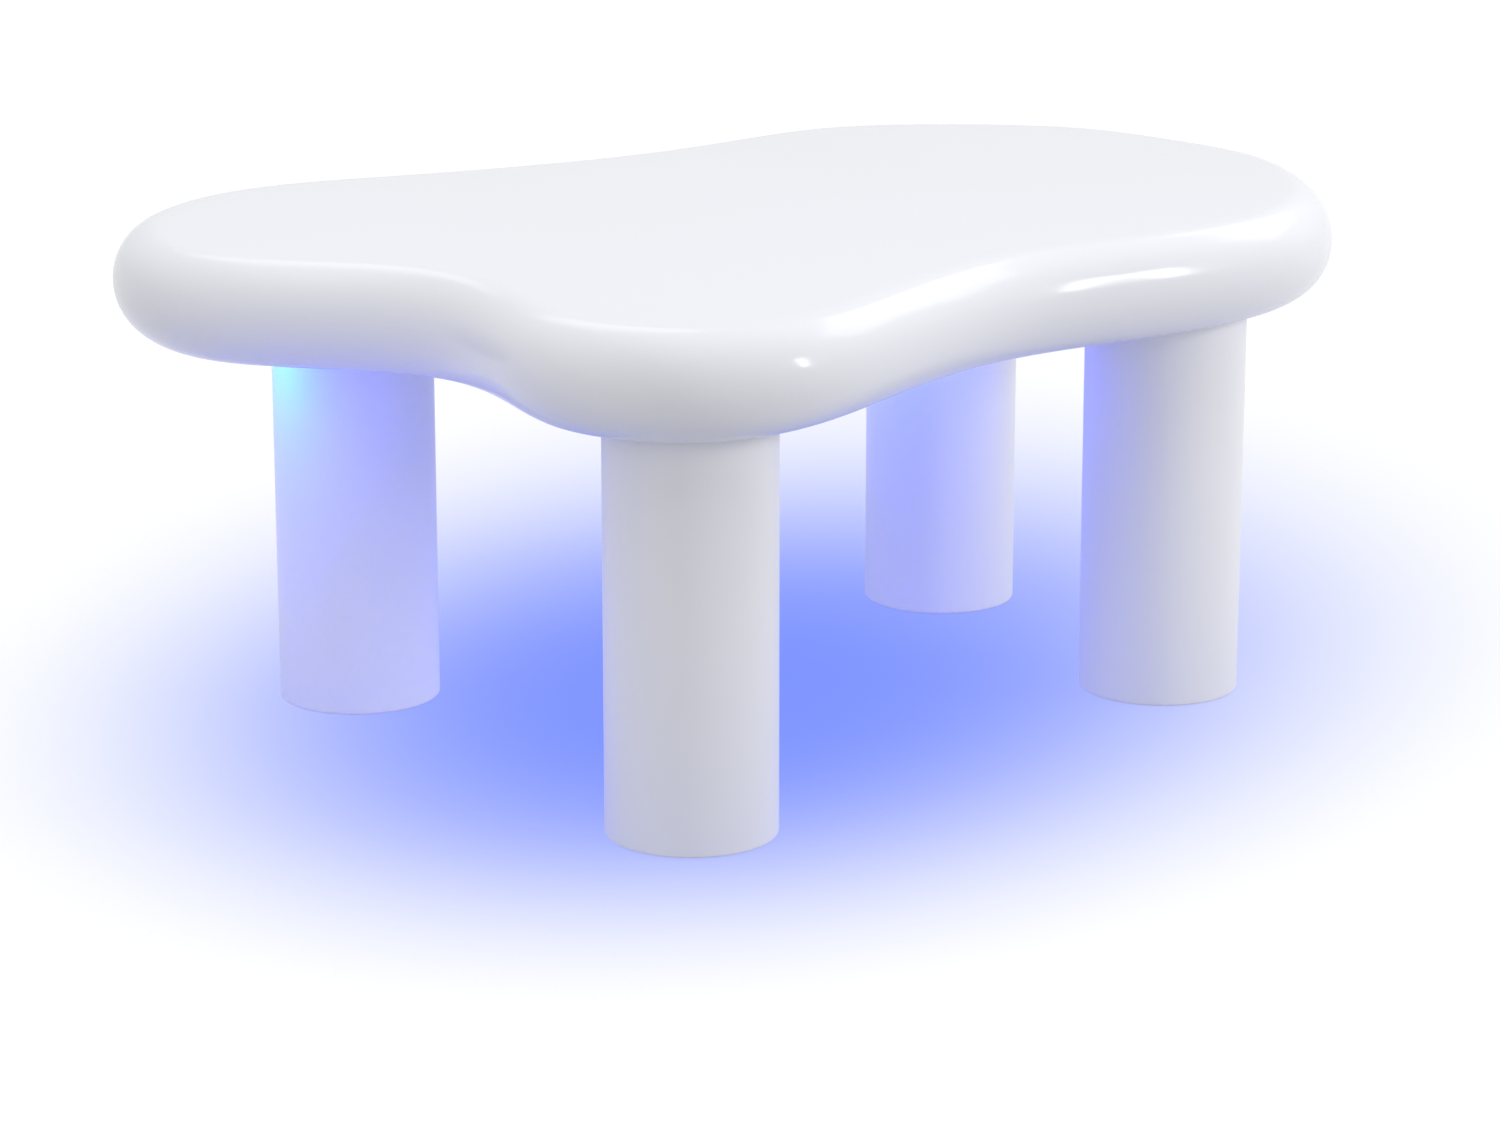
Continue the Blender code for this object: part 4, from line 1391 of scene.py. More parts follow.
@dataclass
class Tabletop:
    """The lacquered shell, the panel that closes it below, and the panel's screws."""

    shell_node: bpy.types.Object
    steps: int = 600
    rim_depth: float = 0.037
    rim_rows: int = 26
    skin: float = 0.020
    panel_inset: float = 0.046
    ledge: float = 0.016
    edge_round: float = 0.0007
    edge_steps: int = 4
    edge_shares: tuple[tuple[float, float], ...] = ((0.0, 1.0), (0.3, 0.3), (1.0, 0.0))
    groove_half: float = 0.0070
    groove_depth: float = 0.0080
    ring_shares: tuple[float, ...] = (0.97, 0.75, 0.5, 0.25, 0.05)
    land_share: float = 0.3
    screw_nodes: tuple[str, ...] = tuple(f"panel_screw_{number}" for number in range(1, 9))

    def __post_init__(self) -> None:
        """Reads the slab's heights and its widest line from the frame."""
        low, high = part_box("tabletop_shell")
        self.underside = low.z
        self.top = high.z
        self.middle = (low.z + high.z) / 2
        points = node_points(self.shell_node)
        widest = points[abs(points[:, 2] - self.middle) < SAME_PLACE][:, :2]
        smooth = closed_curve(round_the_origin(widest), self.steps)
        share = np.ptp(widest, axis=0) / np.ptp(smooth, axis=0)
        self.widest = (smooth - smooth.min(0)) * share + widest.min(0)
        self.panel_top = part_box("underside_panel")[1].z

    def outline(self, inset: float) -> np.ndarray:
        """The widest line, moved in by a distance."""
        return self.widest - inset * outward(self.widest)

    def rows_to_middle(self, line: np.ndarray, height: float) -> list[np.ndarray]:
        """Rings that shrink a level line towards the middle, where a pole closes them."""
        return [level(line * share, height) for share in self.ring_shares]

    def build_shell(self) -> None:
        """The shell: each row is the widest line moved in by an inset, at a height.

        From the middle of the top face the section runs out to the shoulder, down the rim, which is half an
        ellipse, in under the lip, up the rebate, in over the ledge, up the hollow's wall and to its middle.
        """
        half = (self.top - self.underside) / 2
        turn = np.radians(np.linspace(90, -90, self.rim_rows))
        rebate = self.panel_inset - SEAT_GAP
        hollow = self.panel_inset + self.ledge
        ledge_low = self.panel_top + SEAT_GAP
        ceiling = self.top - self.skin
        lip = (rebate - self.edge_round, self.underside + self.edge_round)
        section = [(self.rim_depth * (1 - math.cos(a)), self.middle + half * math.sin(a)) for a in turn]
        section += arc(lip, self.edge_round, -90, 0, self.edge_steps)
        section += [(rebate, ledge_low), (hollow, ledge_low), (hollow, ceiling)]
        top_face = self.rows_to_middle(self.outline(self.rim_depth), self.top)[::-1]
        sides = [level(self.outline(inset), height) for inset, height in section]
        rows = top_face + sides + self.rows_to_middle(self.outline(hollow), ceiling)
        mesh = grid_mesh("top_shell", np.stack(rows), Ends.POLES)
        add_piece("top_shell", mesh, GLOSS_LACQUER, ["tabletop_shell"])

    def build_panel(self, route: np.ndarray) -> None:
        """The panel: rings round the origin, from its upper face over its edge and across the light's groove.

        Args:
            route: The light's plan route.
        """
        angles = round_angles(self.steps)
        normals = outward(route)
        outer = by_angle(route + self.groove_half * normals, angles)
        inner = by_angle(route - self.groove_half * normals, angles)
        groove_top = self.underside + self.groove_depth
        edge = [
            (by_angle(self.outline(self.panel_inset + self.edge_round * share), angles), up_share)
            for share, up_share in self.edge_shares
        ]
        rim, face = edge[0][0], edge[-1][0]
        land = face * (1 - self.land_share) + outer * self.land_share
        rows = self.rows_to_middle(rim, self.panel_top)[::-1] + [level(rim, self.panel_top)]
        rows += [level(line, self.underside + self.edge_round * up_share) for line, up_share in edge]
        rows += [level(land, self.underside), level(outer, self.underside), level(outer, groove_top)]
        rows += [level(inner, groove_top), level(inner, self.underside)]
        rows += self.rows_to_middle(inner, self.underside)
        mesh = grid_mesh("underside_board", np.stack(rows), Ends.POLES)
        mesh = cut(mesh, [Screw(node).sink() for node in self.screw_nodes])
        add_piece("underside_board", mesh, UNDERSIDE_PAINT, ["underside_panel"])

    def build(self, route: np.ndarray) -> None:
        """Builds the shell, the panel and the screws.

        Args:
            route: The light's plan route.
        """
        self.build_shell()
        self.build_panel(route)
        add_screws(self.screw_nodes)


@dataclass
class Column:
    """One column: its tube and the foot pad under it."""

    name: ColumnName
    steps: int = 144
    wall: float = 0.006
    top_round: float = 0.0010
    top_steps: int = 5
    foot_round: float = 0.0022
    foot_steps: int = 8
    pad_inset: float = 0.008
    pad_round: float = 0.0008
    pad_steps: int = 4

    def __post_init__(self) -> None:
        """Reads the column's place, heights and radius from the frame."""
        self.low, self.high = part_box(f"{self.name.value}_column")
        self.radius = (self.high.x - self.low.x) / 2
        self.place = (*middle_of(f"{self.name.value}_column"), 0)

    def build_tube(self) -> None:
        """The tube, turned from its profile: a rounded top, the side, a rounder foot and the bore."""
        low, high, radius = self.low.z, self.high.z, self.radius
        bore = radius - self.wall
        top_middle = (radius - self.top_round, high - self.top_round)
        foot_middle = (radius - self.foot_round, low + self.foot_round)
        profile = arc(top_middle, self.top_round, 90, 0, self.top_steps)
        profile += [(radius, (low + high) / 2)]
        profile += arc(foot_middle, self.foot_round, 0, -90, self.foot_steps)
        profile += [(bore, low), (bore, high)]
        tube = turned_mesh(f"{self.name.value}_leg", profile, self.steps, Ends.JOINED)
        node = f"{self.name.value}_column"
        add_piece(f"{self.name.value}_leg", moved(tube, self.place), SATIN_LACQUER, [node])

    def build_pad(self) -> None:
        """The foot pad: a disc with a rounded lower rim."""
        node = f"{self.name.value}_foot_pad"
        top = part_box(node)[1].z
        radius = self.radius - self.pad_inset
        profile = [(radius * POLE_SHARE, top), (radius, top)]
        profile += arc((radius - self.pad_round, self.pad_round), self.pad_round, 0, -90, self.pad_steps)
        profile += [(radius * POLE_SHARE, 0.0)]
        pad = turned_mesh(f"{self.name.value}_pad", profile, self.steps // 2, Ends.POLES)
        add_piece(f"{self.name.value}_pad", moved(pad, self.place), FOOT_FOAM, [node])

    def build(self) -> None:
        """Builds the tube and the pad."""
        self.build_tube()
        self.build_pad()


@dataclass
class LightLoop:
    """The light under the top: its channel, the strip with its lamps, and the milky diffuser."""

    diffuser_node: bpy.types.Object
    steps: int = 640
    outer: float = 0.0067
    wall: float = 0.0015
    lip_round: float = 0.0004
    lip_steps: int = 4
    crown_steps: int = 15
    film_half: float = 0.0040
    film_thickness: float = 0.0004
    film_gap_steps: int = 4
    lamp_half: float = 0.0025
    lamp_steps: int = 8
    well_depth: float = 0.0003
    well_shares: tuple[float, float] = (0.8, 0.7)
    last_lamp_gap: float = 0.02
    look_ahead: float = 0.001
    middle_digits: int = 5

    def __post_init__(self) -> None:
        """Reads the route and the heights from the frame.

        The diffuser's lowest points lie in pairs, one on each side of the route and far nearer to each other
        than to the next pair, so the route's points are the middles of nearest neighbours.
        """
        points = node_points(self.diffuser_node)
        low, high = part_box("light_diffuser")
        self.diffuser_low = low.z
        self.diffuser_top = high.z
        lowest = points[abs(points[:, 2] - low.z) < SAME_PLACE][:, :2]
        between = np.linalg.norm(lowest[:, None] - lowest[None], axis=2)
        np.fill_diagonal(between, np.inf)
        middles = (lowest + lowest[between.argmin(1)]) / 2
        middles = np.unique(np.round(middles, self.middle_digits), axis=0)
        self.route = closed_curve(round_the_origin(middles), self.steps)
        self.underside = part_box("underside_panel")[0].z
        self.channel_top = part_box("light_channel")[1].z
        low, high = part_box("light_strip")
        self.lamp_low = low.z
        self.film_top = high.z
        self.film_low = high.z - self.film_thickness

    def build_channel(self) -> None:
        """The channel: a U open below, its two lips rounded."""
        inner = self.outer - self.wall
        web = self.channel_top - self.wall
        lip = self.lip_round
        steps = self.lip_steps
        low = self.underside + lip
        section = (
            arc((self.outer - lip, low), lip, 0, -90, steps)
            + arc((inner + lip, low), lip, -90, -180, steps)
            + [(inner, web), (-inner, web)]
            + arc((-inner - lip, low), lip, 0, -90, steps)
            + arc((-self.outer + lip, low), lip, -90, -180, steps)
            + [(-self.outer, self.channel_top), (self.outer, self.channel_top)]
        )
        mesh = carried_mesh("light_trough", self.route, section)
        add_piece("light_trough", mesh, WHITE_SILICONE, ["light_channel"])

    def build_diffuser(self) -> None:
        """The diffuser: straight sides in the channel, and a face that bulges in a shallow half ellipse."""
        side = self.outer - self.wall - SEAT_GAP
        turn = np.radians(np.linspace(-180, 0, self.crown_steps))
        drop = self.underside - self.diffuser_low
        crown = [(side * math.cos(a), self.underside + drop * math.sin(a)) for a in turn]
        section = crown + [(side, self.diffuser_top), (-side, self.diffuser_top)]
        mesh = carried_mesh("light_lens", self.route, section)
        add_piece("light_lens", mesh, LIT_DIFFUSER, ["light_diffuser"])

    def lamp_mesh(self, places: np.ndarray, turns: np.ndarray) -> bpy.types.Mesh:
        """Every lamp of the strip in one mesh: a square body whose face holds a round well.

        One lamp is a grid of four rings, and each of the others is the same lamp, turned to its bearing and
        moved to its place.

        Args:
            places: The lamps' middles, on the plan.
            turns: Their bearings, in radians.

        Returns:
            The mesh.
        """
        ring = circle(round_angles(self.lamp_steps))
        square = ring / abs(ring).max(1)[:, None] * self.lamp_half
        rim, floor = (ring * self.lamp_half * share for share in self.well_shares)
        rows = [
            level(square, self.film_low),
            level(square, self.lamp_low),
            level(rim, self.lamp_low),
            level(floor, self.lamp_low + self.well_depth),
        ]
        single = grid_mesh("lamp", np.stack(rows), Ends.POLES)
        points, counts, corners = arrays_of(single)
        bpy.data.meshes.remove(single)
        cos, sin = np.cos(turns)[:, None], np.sin(turns)[:, None]
        x = points[:, 0] * cos - points[:, 1] * sin + places[:, :1]
        y = points[:, 0] * sin + points[:, 1] * cos + places[:, 1:]
        every = level(np.stack([x, y], -1), points[:, 2]).reshape(-1, 3)
        starts = np.arange(len(places))[:, None] * len(points)
        return mesh_of("strip_lamps", every, np.tile(counts, len(places)), (corners + starts).ravel())

    def build_strip(self) -> None:
        """The film against the channel's web, and its lamps at an even pitch along it."""
        half, low, top = self.film_half, self.film_low, self.film_top
        section = [(-half, low), (half, low), (half, top), (-half, top)]
        film = carried_mesh("strip_film", self.route[: -self.film_gap_steps], section, Ends.CAPS)
        add_piece("strip_tape", film, STRIP_FILM, ["light_strip"])
        way = np.concatenate([[0.0], np.cumsum(step_lengths(self.route))])
        closed = np.vstack([self.route, self.route[:1]])
        distance = np.arange(0.5, (way[-1] - self.last_lamp_gap) / LAMP_PITCH) * LAMP_PITCH
        places, ahead = (
            np.stack([np.interp(read, way, closed[:, axis]) for axis in (0, 1)], 1)
            for read in (distance, distance + self.look_ahead)
        )
        turns = np.arctan2(*(ahead - places).T[::-1])
        add_piece("strip_lamps", self.lamp_mesh(places, turns), CASE_PLASTIC)

    def build(self) -> None:
        """Builds the channel, the strip and the diffuser."""
        self.build_channel()
        self.build_strip()
        self.build_diffuser()


@dataclass
class KeyMark:
    """The raised marks on the keys: lines of half an ellipse in section, round the origin."""

    half_width: float = 0.00022
    height: float = 0.00012
    crown_steps: int = 7
    ring_steps: int = 32
    power_radius: float = 0.0015
    power_steps: int = 40
    power_start: float = 125
    power_end: float = 415
    bar_low: float = 0.0004
    bar_high: float = 0.0019
    trio_radius: float = 0.0006
    trio_reach: float = 0.00125
    trio_angles: tuple[float, ...] = (90, 210, 330)
    sun_radius: float = 0.0008
    ray_start: float = 0.0013
    ray_end: float = 0.0021
    ray_every: int = 4
    line_steps: int = 6

    def ridge(self, name: str, route: np.ndarray, ends: Ends) -> bpy.types.Mesh:
        """A raised line: half an ellipse carried along a level route.

        Args:
            name: The mesh's name.
            route: The line's plan points.
            ends: JOINED for a closed line, CAPS for an open one.

        Returns:
            The mesh.
        """
        turn = np.radians(np.linspace(0, -180, self.crown_steps))
        section = [(self.half_width * math.cos(a), self.height * math.sin(a)) for a in turn]
        section += [(-self.half_width, self.height), (self.half_width, self.height)]
        return carried_mesh(name, route, section, ends)

    def line(self, start: Sequence[float], end: Sequence[float]) -> bpy.types.Mesh:
        """A straight raised line between two plan points."""
        return self.ridge("line", np.linspace(start, end, self.line_steps), Ends.CAPS)

    def meshes(self, key: KeyName) -> list[bpy.types.Mesh]:
        """A key's mark.

        Power has an open ring and a bar, colour three small rings, and brightness a ring with eight rays.

        Args:
            key: Which key.

        Returns:
            The mark's meshes.
        """
        ring = circle(round_angles(self.ring_steps))
        if key is KeyName.POWER:
            angle = np.radians(np.linspace(self.power_start, self.power_end, self.power_steps))
            open_ring = self.ridge("ring", self.power_radius * circle(angle), Ends.CAPS)
            return [open_ring, self.line((0, self.bar_low), (0, self.bar_high))]
        if key is KeyName.COLOUR:
            middles = self.trio_reach * circle(np.radians(self.trio_angles))
            return [self.ridge("ring", middle + self.trio_radius * ring, Ends.JOINED) for middle in middles]
        rays = [self.line(self.ray_start * way, self.ray_end * way) for way in ring[:: self.ray_every]]
        return [self.ridge("ring", self.sun_radius * ring, Ends.JOINED), *rays]


@dataclass
class Controller:
    """The controller's case, base plate, keys and screws. What is inside keeps its nodes."""

    corner: float = 0.0032
    rim_round: float = 0.0016
    seam_round: float = 0.0003
    plate_round: float = 0.0005
    wall: float = 0.0018
    board_ledge: float = 0.0015
    room_corner: float = 0.0008
    room_round: float = 0.0002
    overrun: float = 0.0020
    key_radius: float = 0.0040
    key_clearance: float = 0.0003
    key_flange: float = 0.0010
    key_flange_thickness: float = 0.0012
    key_edge: float = 0.0005
    key_edge_steps: int = 6
    key_dish: float = 0.00015
    key_dish_share: float = 0.75
    key_dish_flat: float = 0.001
    key_post_radius: float = 0.0015
    steps: int = 64
    well_flare: float = 0.0005
    window_radius: float = 0.0035
    window_flare: float = 0.0006
    window_flare_depth: float = 0.0005
    screw_nodes: tuple[str, ...] = ("controller_screw_1", "controller_screw_2")

    def rooms(self) -> list[bpy.types.Mesh]:
        """The case's inside: the board's room above, and the keys' room, which a ledge makes narrower.

        Returns:
            The two rooms' meshes, as cutters.
        """
        low, high = corners_of("controller_case")
        board_low = corners_of("controller_board")[0][2] - SEAT_GAP
        past_top = (0, 0, self.overrun)
        inside = np.array((self.wall, self.wall, 0))
        ledge = np.array((self.wall, self.wall + self.board_ledge, self.wall))
        upper = (low + inside + (0, 0, board_low - low[2]), high - inside + past_top)
        lower = (low + ledge, high - ledge * (1, 1, 0) + past_top)
        radii = (self.room_corner, self.room_round, self.room_round)
        return [rounded_box("room", room, *radii) for room in (upper, lower)]

    def well(self, key: KeyName) -> bpy.types.Mesh:
        """The flared hole in the case's floor that a key slides in.

        Args:
            key: Which key.

        Returns:
            The hole's mesh, as a cutter.
        """
        radius = self.key_radius + self.key_clearance
        profile = [
            (POLE_RADIUS, self.wall + self.overrun),
            (radius, self.wall + self.overrun),
            (radius, self.well_flare),
            (radius + self.well_flare, 0.0),
            (radius + self.well_flare * 2, -self.well_flare),
            (POLE_RADIUS, -self.well_flare),
        ]
        place = (*middle_of(f"{key.value}_button"), corners_of("controller_case")[0][2])
        return moved(turned_mesh("well", profile, self.steps, Ends.POLES), place)

    def window(self) -> bpy.types.Mesh:
        """The round window for the power inlet, flared outwards, in the case's end wall.

        Each row is a circle about the inlet's middle, at its own place along X.

        Returns:
            The window's mesh, as a cutter.
        """
        end = corners_of("controller_case")[1][0]
        low, high = corners_of("power_inlet")
        ring = circle(round_angles(self.steps))
        radii = (self.window_radius, self.window_radius, self.window_radius + self.window_flare)
        places = (end - self.wall - SEAT_GAP / 2, end - self.window_flare_depth, end + SEAT_GAP)
        middle = (low + high) / 2
        rows = [np.roll(level(middle[1:] + radius * ring, x), 1, -1) for radius, x in zip(radii, places)]
        return grid_mesh("window", np.stack(rows), Ends.POLES)

    def build_case(self) -> None:
        """The case: a round-edged box, less its inside, its key wells and the inlet's window."""
        box = corners_of("controller_case")
        mesh = rounded_box("control_case", box, self.corner, self.rim_round, self.seam_round)
        for cutter in [*self.rooms(), *(self.well(key) for key in KeyName), self.window()]:
            mesh = cut(mesh, [cutter])
        add_piece("control_case", mesh, CASE_PLASTIC, ["controller_case"])

    def build_base(self) -> None:
        """The base plate, countersunk for its two screws, and the screws."""
        box = corners_of("controller_base")
        mesh = rounded_box("control_base", box, self.corner, self.plate_round, self.plate_round)
        mesh = cut(mesh, [Screw(node).sink() for node in self.screw_nodes])
        add_piece("control_base", mesh, CASE_PLASTIC, ["controller_base"])
        add_screws(self.screw_nodes)

    def build_key(self, key: KeyName) -> None:
        """A key: a post, a flange just above the case's floor, a round-edged dished face, and its mark.

        Args:
            key: Which key.
        """
        node = f"{key.value}_button"
        low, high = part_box(node)
        flange_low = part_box("controller_case")[0].z + self.wall + SEAT_GAP
        flange_high = flange_low + self.key_flange_thickness
        flange = self.key_radius + self.key_flange
        edge = self.key_edge
        dish = low.z + self.key_dish
        profile = [
            (self.key_post_radius * POLE_SHARE, high.z),
            (self.key_post_radius, high.z),
            (self.key_post_radius, flange_high),
            (flange, flange_high),
            (flange, flange_low),
            (self.key_radius, flange_low),
        ]
        profile += arc((self.key_radius - edge, low.z + edge), edge, 0, -90, self.key_edge_steps)
        profile += [(self.key_radius * self.key_dish_share, dish), (self.key_dish_flat, dish)]
        body = turned_mesh(node, profile, self.steps, Ends.POLES)
        mark = [moved(mesh, (0, 0, dish)) for mesh in KeyMark().meshes(key)]
        mesh = moved(joined(f"{key.value}_key_cap", [body, *mark]), (*middle_of(node), 0))
        add_piece(f"{key.value}_key_cap", mesh, KEY_PLASTIC, [node], f"{key.value}_key")

    def build(self) -> None:
        """Builds the base, the case and the keys."""
        self.build_base()
        self.build_case()
        for key in KeyName:
            self.build_key(key)


@dataclass
class HiddenFrame:
    """The frame's own nodes that keep their shape: what lies in the hollow, and the controller's parts."""

    nodes: dict[str, bpy.types.Object]

    def finish_of(self, node: str) -> Finish:
        """The finish that a word in a node's name calls for.

        Args:
            node: The node's name.

        Returns:
            The finish.
        """
        by_word = {
            "rib": FIBREBOARD,
            "block": FIBREBOARD,
            "plug": FIBREBOARD,
            "insert_nut": BRASS,
            "bolt": ZINC_STEEL,
            "controller_board": BOARD_LAMINATE,
            "switch": BLACK_PLASTIC,
            "power_inlet": BLACK_PLASTIC,
            "strip_lead": LEAD_SHEATH,
        }
        return next(finish for word, finish in by_word.items() if word in node)

    def dress(self) -> None:
        """Gives each node that still shows its finish."""
        for name, node in self.nodes.items():
            if node.hide_render:
                continue
            finish = self.finish_of(name)
            node.data.materials.clear()
            node.data.materials.append(finish.material())
            LOG.info("node %s: %s", name, finish.name)


# The studio


class LampRole(Enum):
    """What a lamp is for: light on matt surfaces alone, or its own reflection in shiny ones alone."""

    LIGHT = "light"
    SHINE = "shine"


def towards(azimuth: float, elevation: float) -> Vector:
    """The direction at an azimuth from +X and an elevation above the floor, both in degrees."""
    a, e = math.radians(azimuth), math.radians(elevation)
    return Vector((math.cos(a) * math.cos(e), math.sin(a) * math.cos(e), math.sin(e)))


@dataclass
class Lamp:
    """A flat lamp that the camera doesn't see. It shines down unless it is turned."""

    name: str
    size: tuple[float, float]
    power: float
    colour: Colour = WHITE
    role: LampRole = LampRole.LIGHT

    def hang(self, place: Sequence[float], turn: Sequence[float]) -> None:
        """Puts the lamp into the scene.

        Args:
            place: Where it hangs.
            turn: Its turns about the three axes, in radians.
        """
        data = bpy.data.lights.new(self.name, "AREA")
        data.shape = "RECTANGLE"
        data.size, data.size_y = self.size
        data.energy = self.power
        data.color = self.colour
        lamp = bpy.data.objects.new(self.name, data)
        lamp.location = place
        lamp.rotation_euler = turn
        lamp.visible_camera = False
        lamp.visible_glossy = self.role is LampRole.SHINE
        lamp.visible_diffuse = self.role is LampRole.LIGHT
        bpy.context.scene.collection.objects.link(lamp)
        LOG.info("lamp %s", self.name)

    def aim(self, target: Sequence[float], away: Vector) -> None:
        """Hangs the lamp so that it faces a target.

        Args:
            target: The point that it faces.
            away: The way from the target to the lamp.
        """
        self.hang(Vector(target) + away, away.to_track_quat("Z", "Y").to_euler())


@dataclass
class Studio:
    """The camera, the pale floor with the light's glow on it, the white surround and the lamps."""

    light: LightLoop
    camera_place: tuple[float, float, float] = (-2.681, -2.493, 1.090)
    camera_bearing: float = 43.0
    camera_pitch: float = 15.20
    camera_lens: float = 110.2
    floor_reach: float = 14.0
    floor_height: float = -0.0003
    glow_middle: tuple[float, float] = (-0.063, -0.015)
    glow_turn: float = 26.4
    glow_length: float = 0.659
    glow_width: float = 0.46
    glow_widening: float = 0.27
    glow_least_reach: float = 0.2
    glow_colour: Colour = (0.216, 0.303, 0.985)
    glow_share_in_light: float = 0.52
    glow_light: float = 0.358
    bounce_share: float = 0.50
    surround_light: float = 0.55
    surround_mirrored: float = 0.88
    shadow_share: float = 0.14
    open_light: float = 0.55
    lamp_target: tuple[float, float, float] = (0.0, 0.0, 0.35)
    overhead_distance: float = 2.6
    lamp_distance: float = 3.0
    strip_lamp_count: int = 22
    strip_lamp_width: float = 0.008
    strip_lamp_drop: float = 0.001
    strip_lamp_power: float = 0.068
    strip_shares: tuple[float, ...] = (0.85, 0.35, 5.0, 0.55)
    strip_colours: tuple[Colour, ...] = (
        (0.0, 0.05, 1.0),
        (0.035, 0.07, 1.0),
        (0.10, 0.18, 1.0),
        (0.0, 0.02, 1.0),
    )
    strip_full_gap: float = 0.060
    cyan_lamp_power: float = 0.80
    cyan_lamp_colour: Colour = (0.0, 0.07, 1.0)
    spill_place: tuple[float, float, float] = (-0.56, 0.02, 0.14)
    spill_target: tuple[float, float, float] = (-0.42, -0.118, 0.336)
    spill_power: float = 0.12
    spill_size: float = 0.08
    spill_colour: Colour = (0.035, 0.07, 1.0)

    def build_camera(self) -> None:
        """The camera at the photograph's viewing angle, level across, without shift."""
        data = bpy.data.cameras.new("view")
        data.lens = self.camera_lens
        camera = bpy.data.objects.new("view", data)
        camera.location = self.camera_place
        bearing = math.radians(self.camera_bearing - 90)
        camera.rotation_euler = (math.radians(90 - self.camera_pitch), 0, bearing)
        bpy.context.scene.collection.objects.link(camera)
        bpy.context.scene.camera = camera
        LOG.info("camera at %s", self.camera_place)

    def glow(self, shader: ShaderTree) -> Value:
        """How strong the glow is at each point of the floor: 1 in the middle, and 0 far out.

        It is e to the minus cube of the distance from the middle, which is measured in the glow's own length
        and width, and both of these widen towards the far end of its long axis.

        Args:
            shader: The floor material's tree.

        Returns:
            The glow's strength.
        """
        x, y, _ = shader.parts(shader.place())
        turn = math.radians(self.glow_turn)
        east = x - self.glow_middle[0]
        north = y - self.glow_middle[1]
        along = east * math.cos(turn) + north * math.sin(turn)
        across = north * math.cos(turn) - east * math.sin(turn)
        reach = (along * self.glow_widening + 1).at_least(self.glow_least_reach)
        far = (along / self.glow_length / reach) ** 2 + (across / self.glow_width / reach) ** 2
        return (0 - far**1.5).exponential()

    def paint_floor(self, shader: ShaderTree) -> None:
        """The floor's material: white with the glow painted on it, lit enough to keep shadows, and clear from
        below.

        Args:
            shader: The material's tree.
        """
        glow = self.glow(shader)
        # Painted pool of light: the glow's colour is painted into what the eye and reflections see of the
        # floor.
        seen = shader.blend(glow, WHITE, self.glow_colour)
        cast = shader.blend(glow * self.glow_share_in_light, WHITE, self.glow_colour)
        own = shader.emission(seen, 1 - self.shadow_share * self.open_light)
        caught = shader.diffuse(shader.blend(1 - self.shadow_share, seen, BLACK))
        bounce = shader.diffuse(shader.blend(self.bounce_share, BLACK, cast))
        # Painted light: the floor gives off the painted glow as light of its own, onto the columns and the
        # lip.
        spread = shader.emission(cast, glow * self.glow_light)
        eye_rays = shader.path("Is Camera Ray").at_least(shader.path("Is Glossy Ray"))
        eye_rays = eye_rays.at_least(shader.path("Is Transmission Ray"))
        front = shader.either(eye_rays, shader.both(bounce, spread), shader.both(own, caught))
        back = shader.node("ShaderNodeNewGeometry").outputs["Backfacing"]
        shader.finish(shader.either(back, front, shader.shader("ShaderNodeBsdfTransparent")))

    def build_floor(self) -> None:
        """The floor: one large square."""
        reach, height = self.floor_reach, self.floor_height
        mesh = bpy.data.meshes.new("floor")
        corners = [(x * reach, y * reach, height) for x, y in ((-1, -1), (1, -1), (1, 1), (-1, 1))]
        mesh.from_pydata(corners, [], [(0, 1, 2, 3)])
        material = bpy.data.materials.new("pale_floor")
        self.paint_floor(ShaderTree(material))
        mesh.materials.append(material)
        floor = bpy.data.objects.new("floor", mesh)
        bpy.context.scene.collection.objects.link(floor)
        LOG.info("floor with glow")

    def build_surround(self) -> None:
        """The white surround: full white to the eye, a little less in reflections, and softer as light."""
        world = bpy.data.worlds.new("surround")
        bpy.context.scene.world = world
        shader = ShaderTree(world)
        seen = shader.path("Is Camera Ray").at_least(shader.path("Is Transmission Ray"))
        mirrored = shader.path("Is Glossy Ray") * self.surround_mirrored
        strength = mirrored.at_least(seen).at_least(self.surround_light)
        background = shader.shader("ShaderNodeBackground", {"Color": WHITE, "Strength": strength})
        shader.finish(background, "ShaderNodeOutputWorld")

    def build_lamps(self) -> None:
        """Soft fills, windows where the highlights on the shell say that they are, and the light on the lip.

        The last one stands for the violet light that gathers on the lip of the bay between the left columns.
        """
        shine = LampRole.SHINE
        overhead = Lamp("overhead", (2.6, 2.6), 25.0)
        overhead.aim(self.lamp_target, Vector((0, 0, 1)) * self.overhead_distance)
        lamps = [
            (towards(-145, 55), Lamp("high_front_fill", (1.0, 1.0), 7.0)),
            (towards(-60, 17), Lamp("front_right_fill", (0.8, 0.8), 22.0)),
            (towards(-15, 12), Lamp("right_fill", (1.0, 1.0), 9.0)),
            (towards(170, 17), Lamp("left_fill", (1.2, 1.0), 4.8)),
            (towards(140, 30), Lamp("back_left_fill", (1.0, 1.0), 2.5)),
            (towards(-120, 20), Lamp("front_fill", (1.0, 1.0), 3.0)),
            (towards(-7, 34), Lamp("right_window", (1.9, 1.0), 9.5, role=shine)),
            (towards(-64.5, 19), Lamp("front_window", (0.28, 0.70), 8.0, role=shine)),
            (towards(60, 44), Lamp("back_window", (1.3, 1.5), 5.0, role=shine)),
        ]
        for direction, lamp in lamps:
            lamp.aim(self.lamp_target, direction * self.lamp_distance)
        spill = Lamp("lip_spill", (self.spill_size, self.spill_size), self.spill_power, self.spill_colour)
        spill.aim(self.spill_target, Vector(self.spill_place) - Vector(self.spill_target))

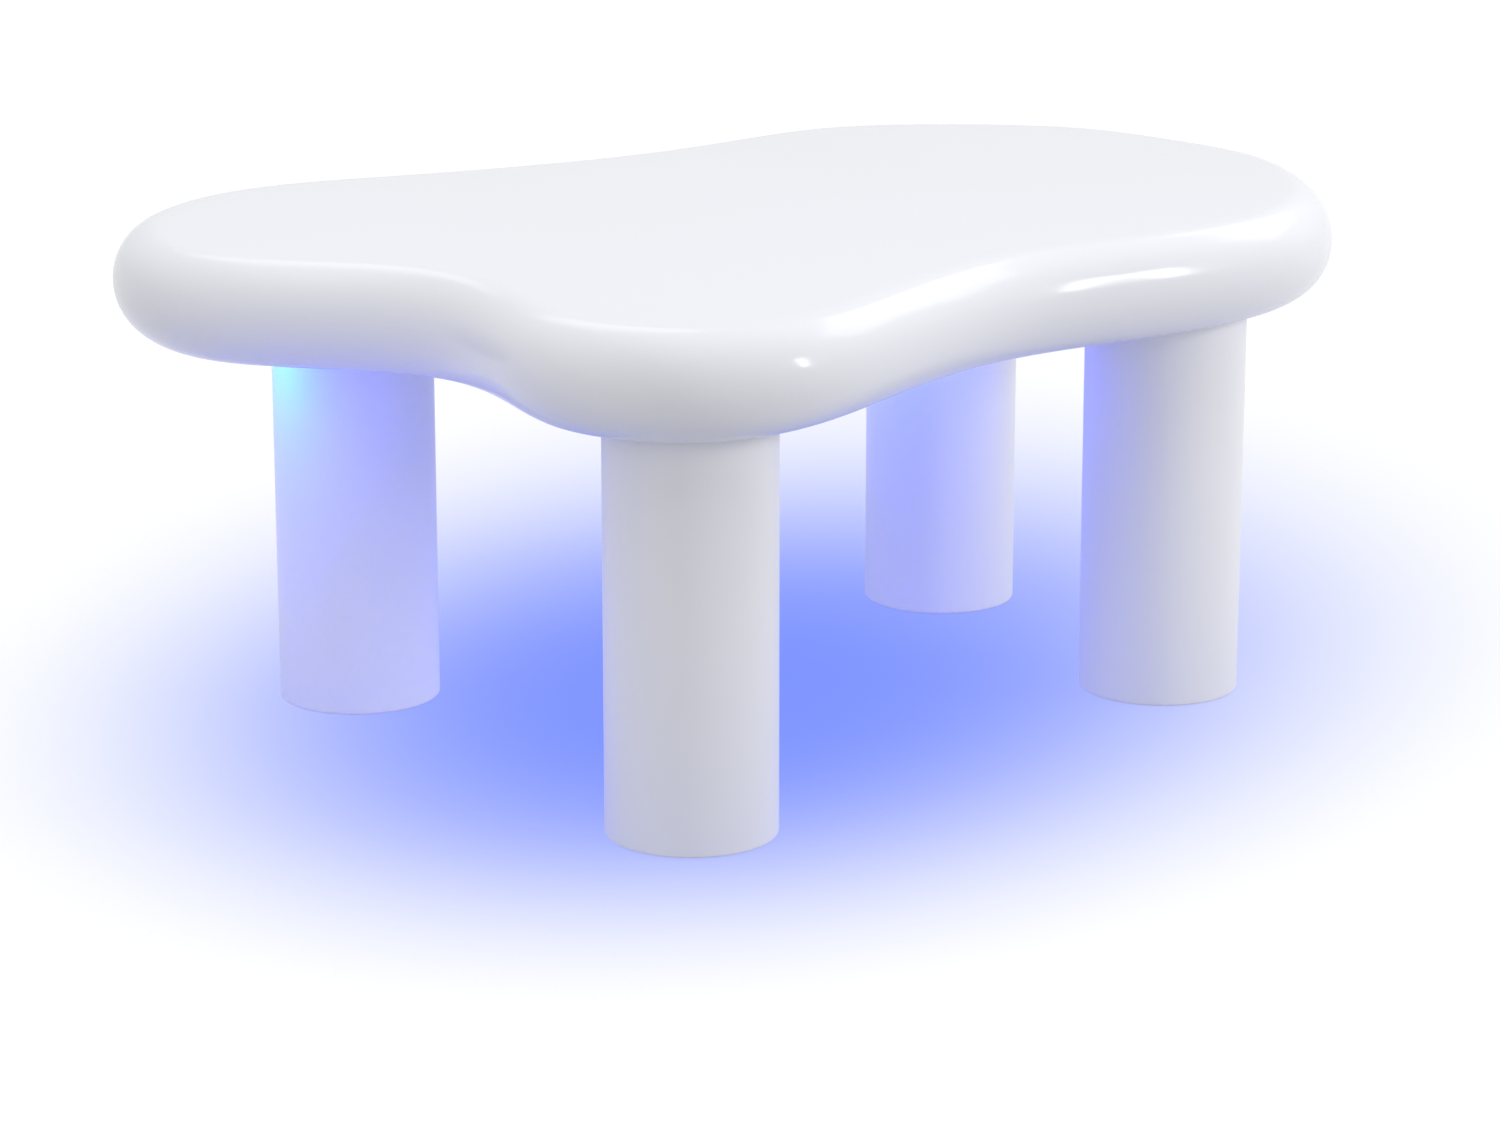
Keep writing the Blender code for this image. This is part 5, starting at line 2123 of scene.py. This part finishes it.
    def build_strip_lamps(self) -> None:
        """Small lamps just under the diffuser that throw the strip's light down on columns and floor.

        Each has the colour and the share of power that belong to its nearest column, in the order of
        ColumnName, and less power where it hangs so close to that column or to the controller that it would
        burn a spot on it. One lamp is cyan.
        """
        route = self.light.route
        picks = np.linspace(0, len(route), self.strip_lamp_count, endpoint=False).astype(int)
        cyan = min(picks, key=lambda pick: math.dist(route[pick], LIT_DIFFUSER.cyan_middle))
        columns = [Column(name) for name in ColumnName]
        case_low, case_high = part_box("controller_case")
        ahead = neighbour_span(route)
        size = (step_lengths(route).sum() / self.strip_lamp_count, self.strip_lamp_width)
        height = self.light.diffuser_low - self.strip_lamp_drop
        for number, pick in enumerate(picks, 1):
            gaps = [math.dist(route[pick], column.place[:2]) - column.radius for column in columns]
            nearest = int(np.argmin(gaps))
            case_gap = math.dist(route[pick], np.clip(route[pick], case_low.xy, case_high.xy))
            closeness = min(1.0, (min(gaps[nearest], case_gap) / self.strip_full_gap) ** 2)
            power = self.strip_lamp_power * self.strip_shares[nearest] * closeness
            lamp = Lamp(f"strip_lamp_{number}", size, power, self.strip_colours[nearest])
            if pick == cyan:
                lamp.power = self.cyan_lamp_power
                lamp.colour = self.cyan_lamp_colour
            lamp.hang((*route[pick], height), (0, 0, math.atan2(ahead[pick][1], ahead[pick][0])))

    def build(self) -> None:
        """Builds the stage round the table."""
        bpy.context.scene.view_settings.view_transform = "Standard"
        self.build_camera()
        self.build_floor()
        self.build_surround()
        self.build_lamps()
        self.build_strip_lamps()


def main() -> None:
    """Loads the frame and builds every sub-assembly round it."""
    logging.basicConfig(level=logging.INFO, format="%(name)s: %(message)s")
    for obj in list(bpy.data.objects):
        bpy.data.objects.remove(obj)
    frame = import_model()
    nodes = frame["nodes"]
    light = LightLoop(nodes["light_diffuser"])
    Tabletop(nodes["tabletop_shell"]).build(light.route)
    for name in ColumnName:
        Column(name).build()
    light.build()
    Controller().build()
    HiddenFrame(nodes).dress()
    Studio(light).build()


if __name__ == "__main__":
    main()
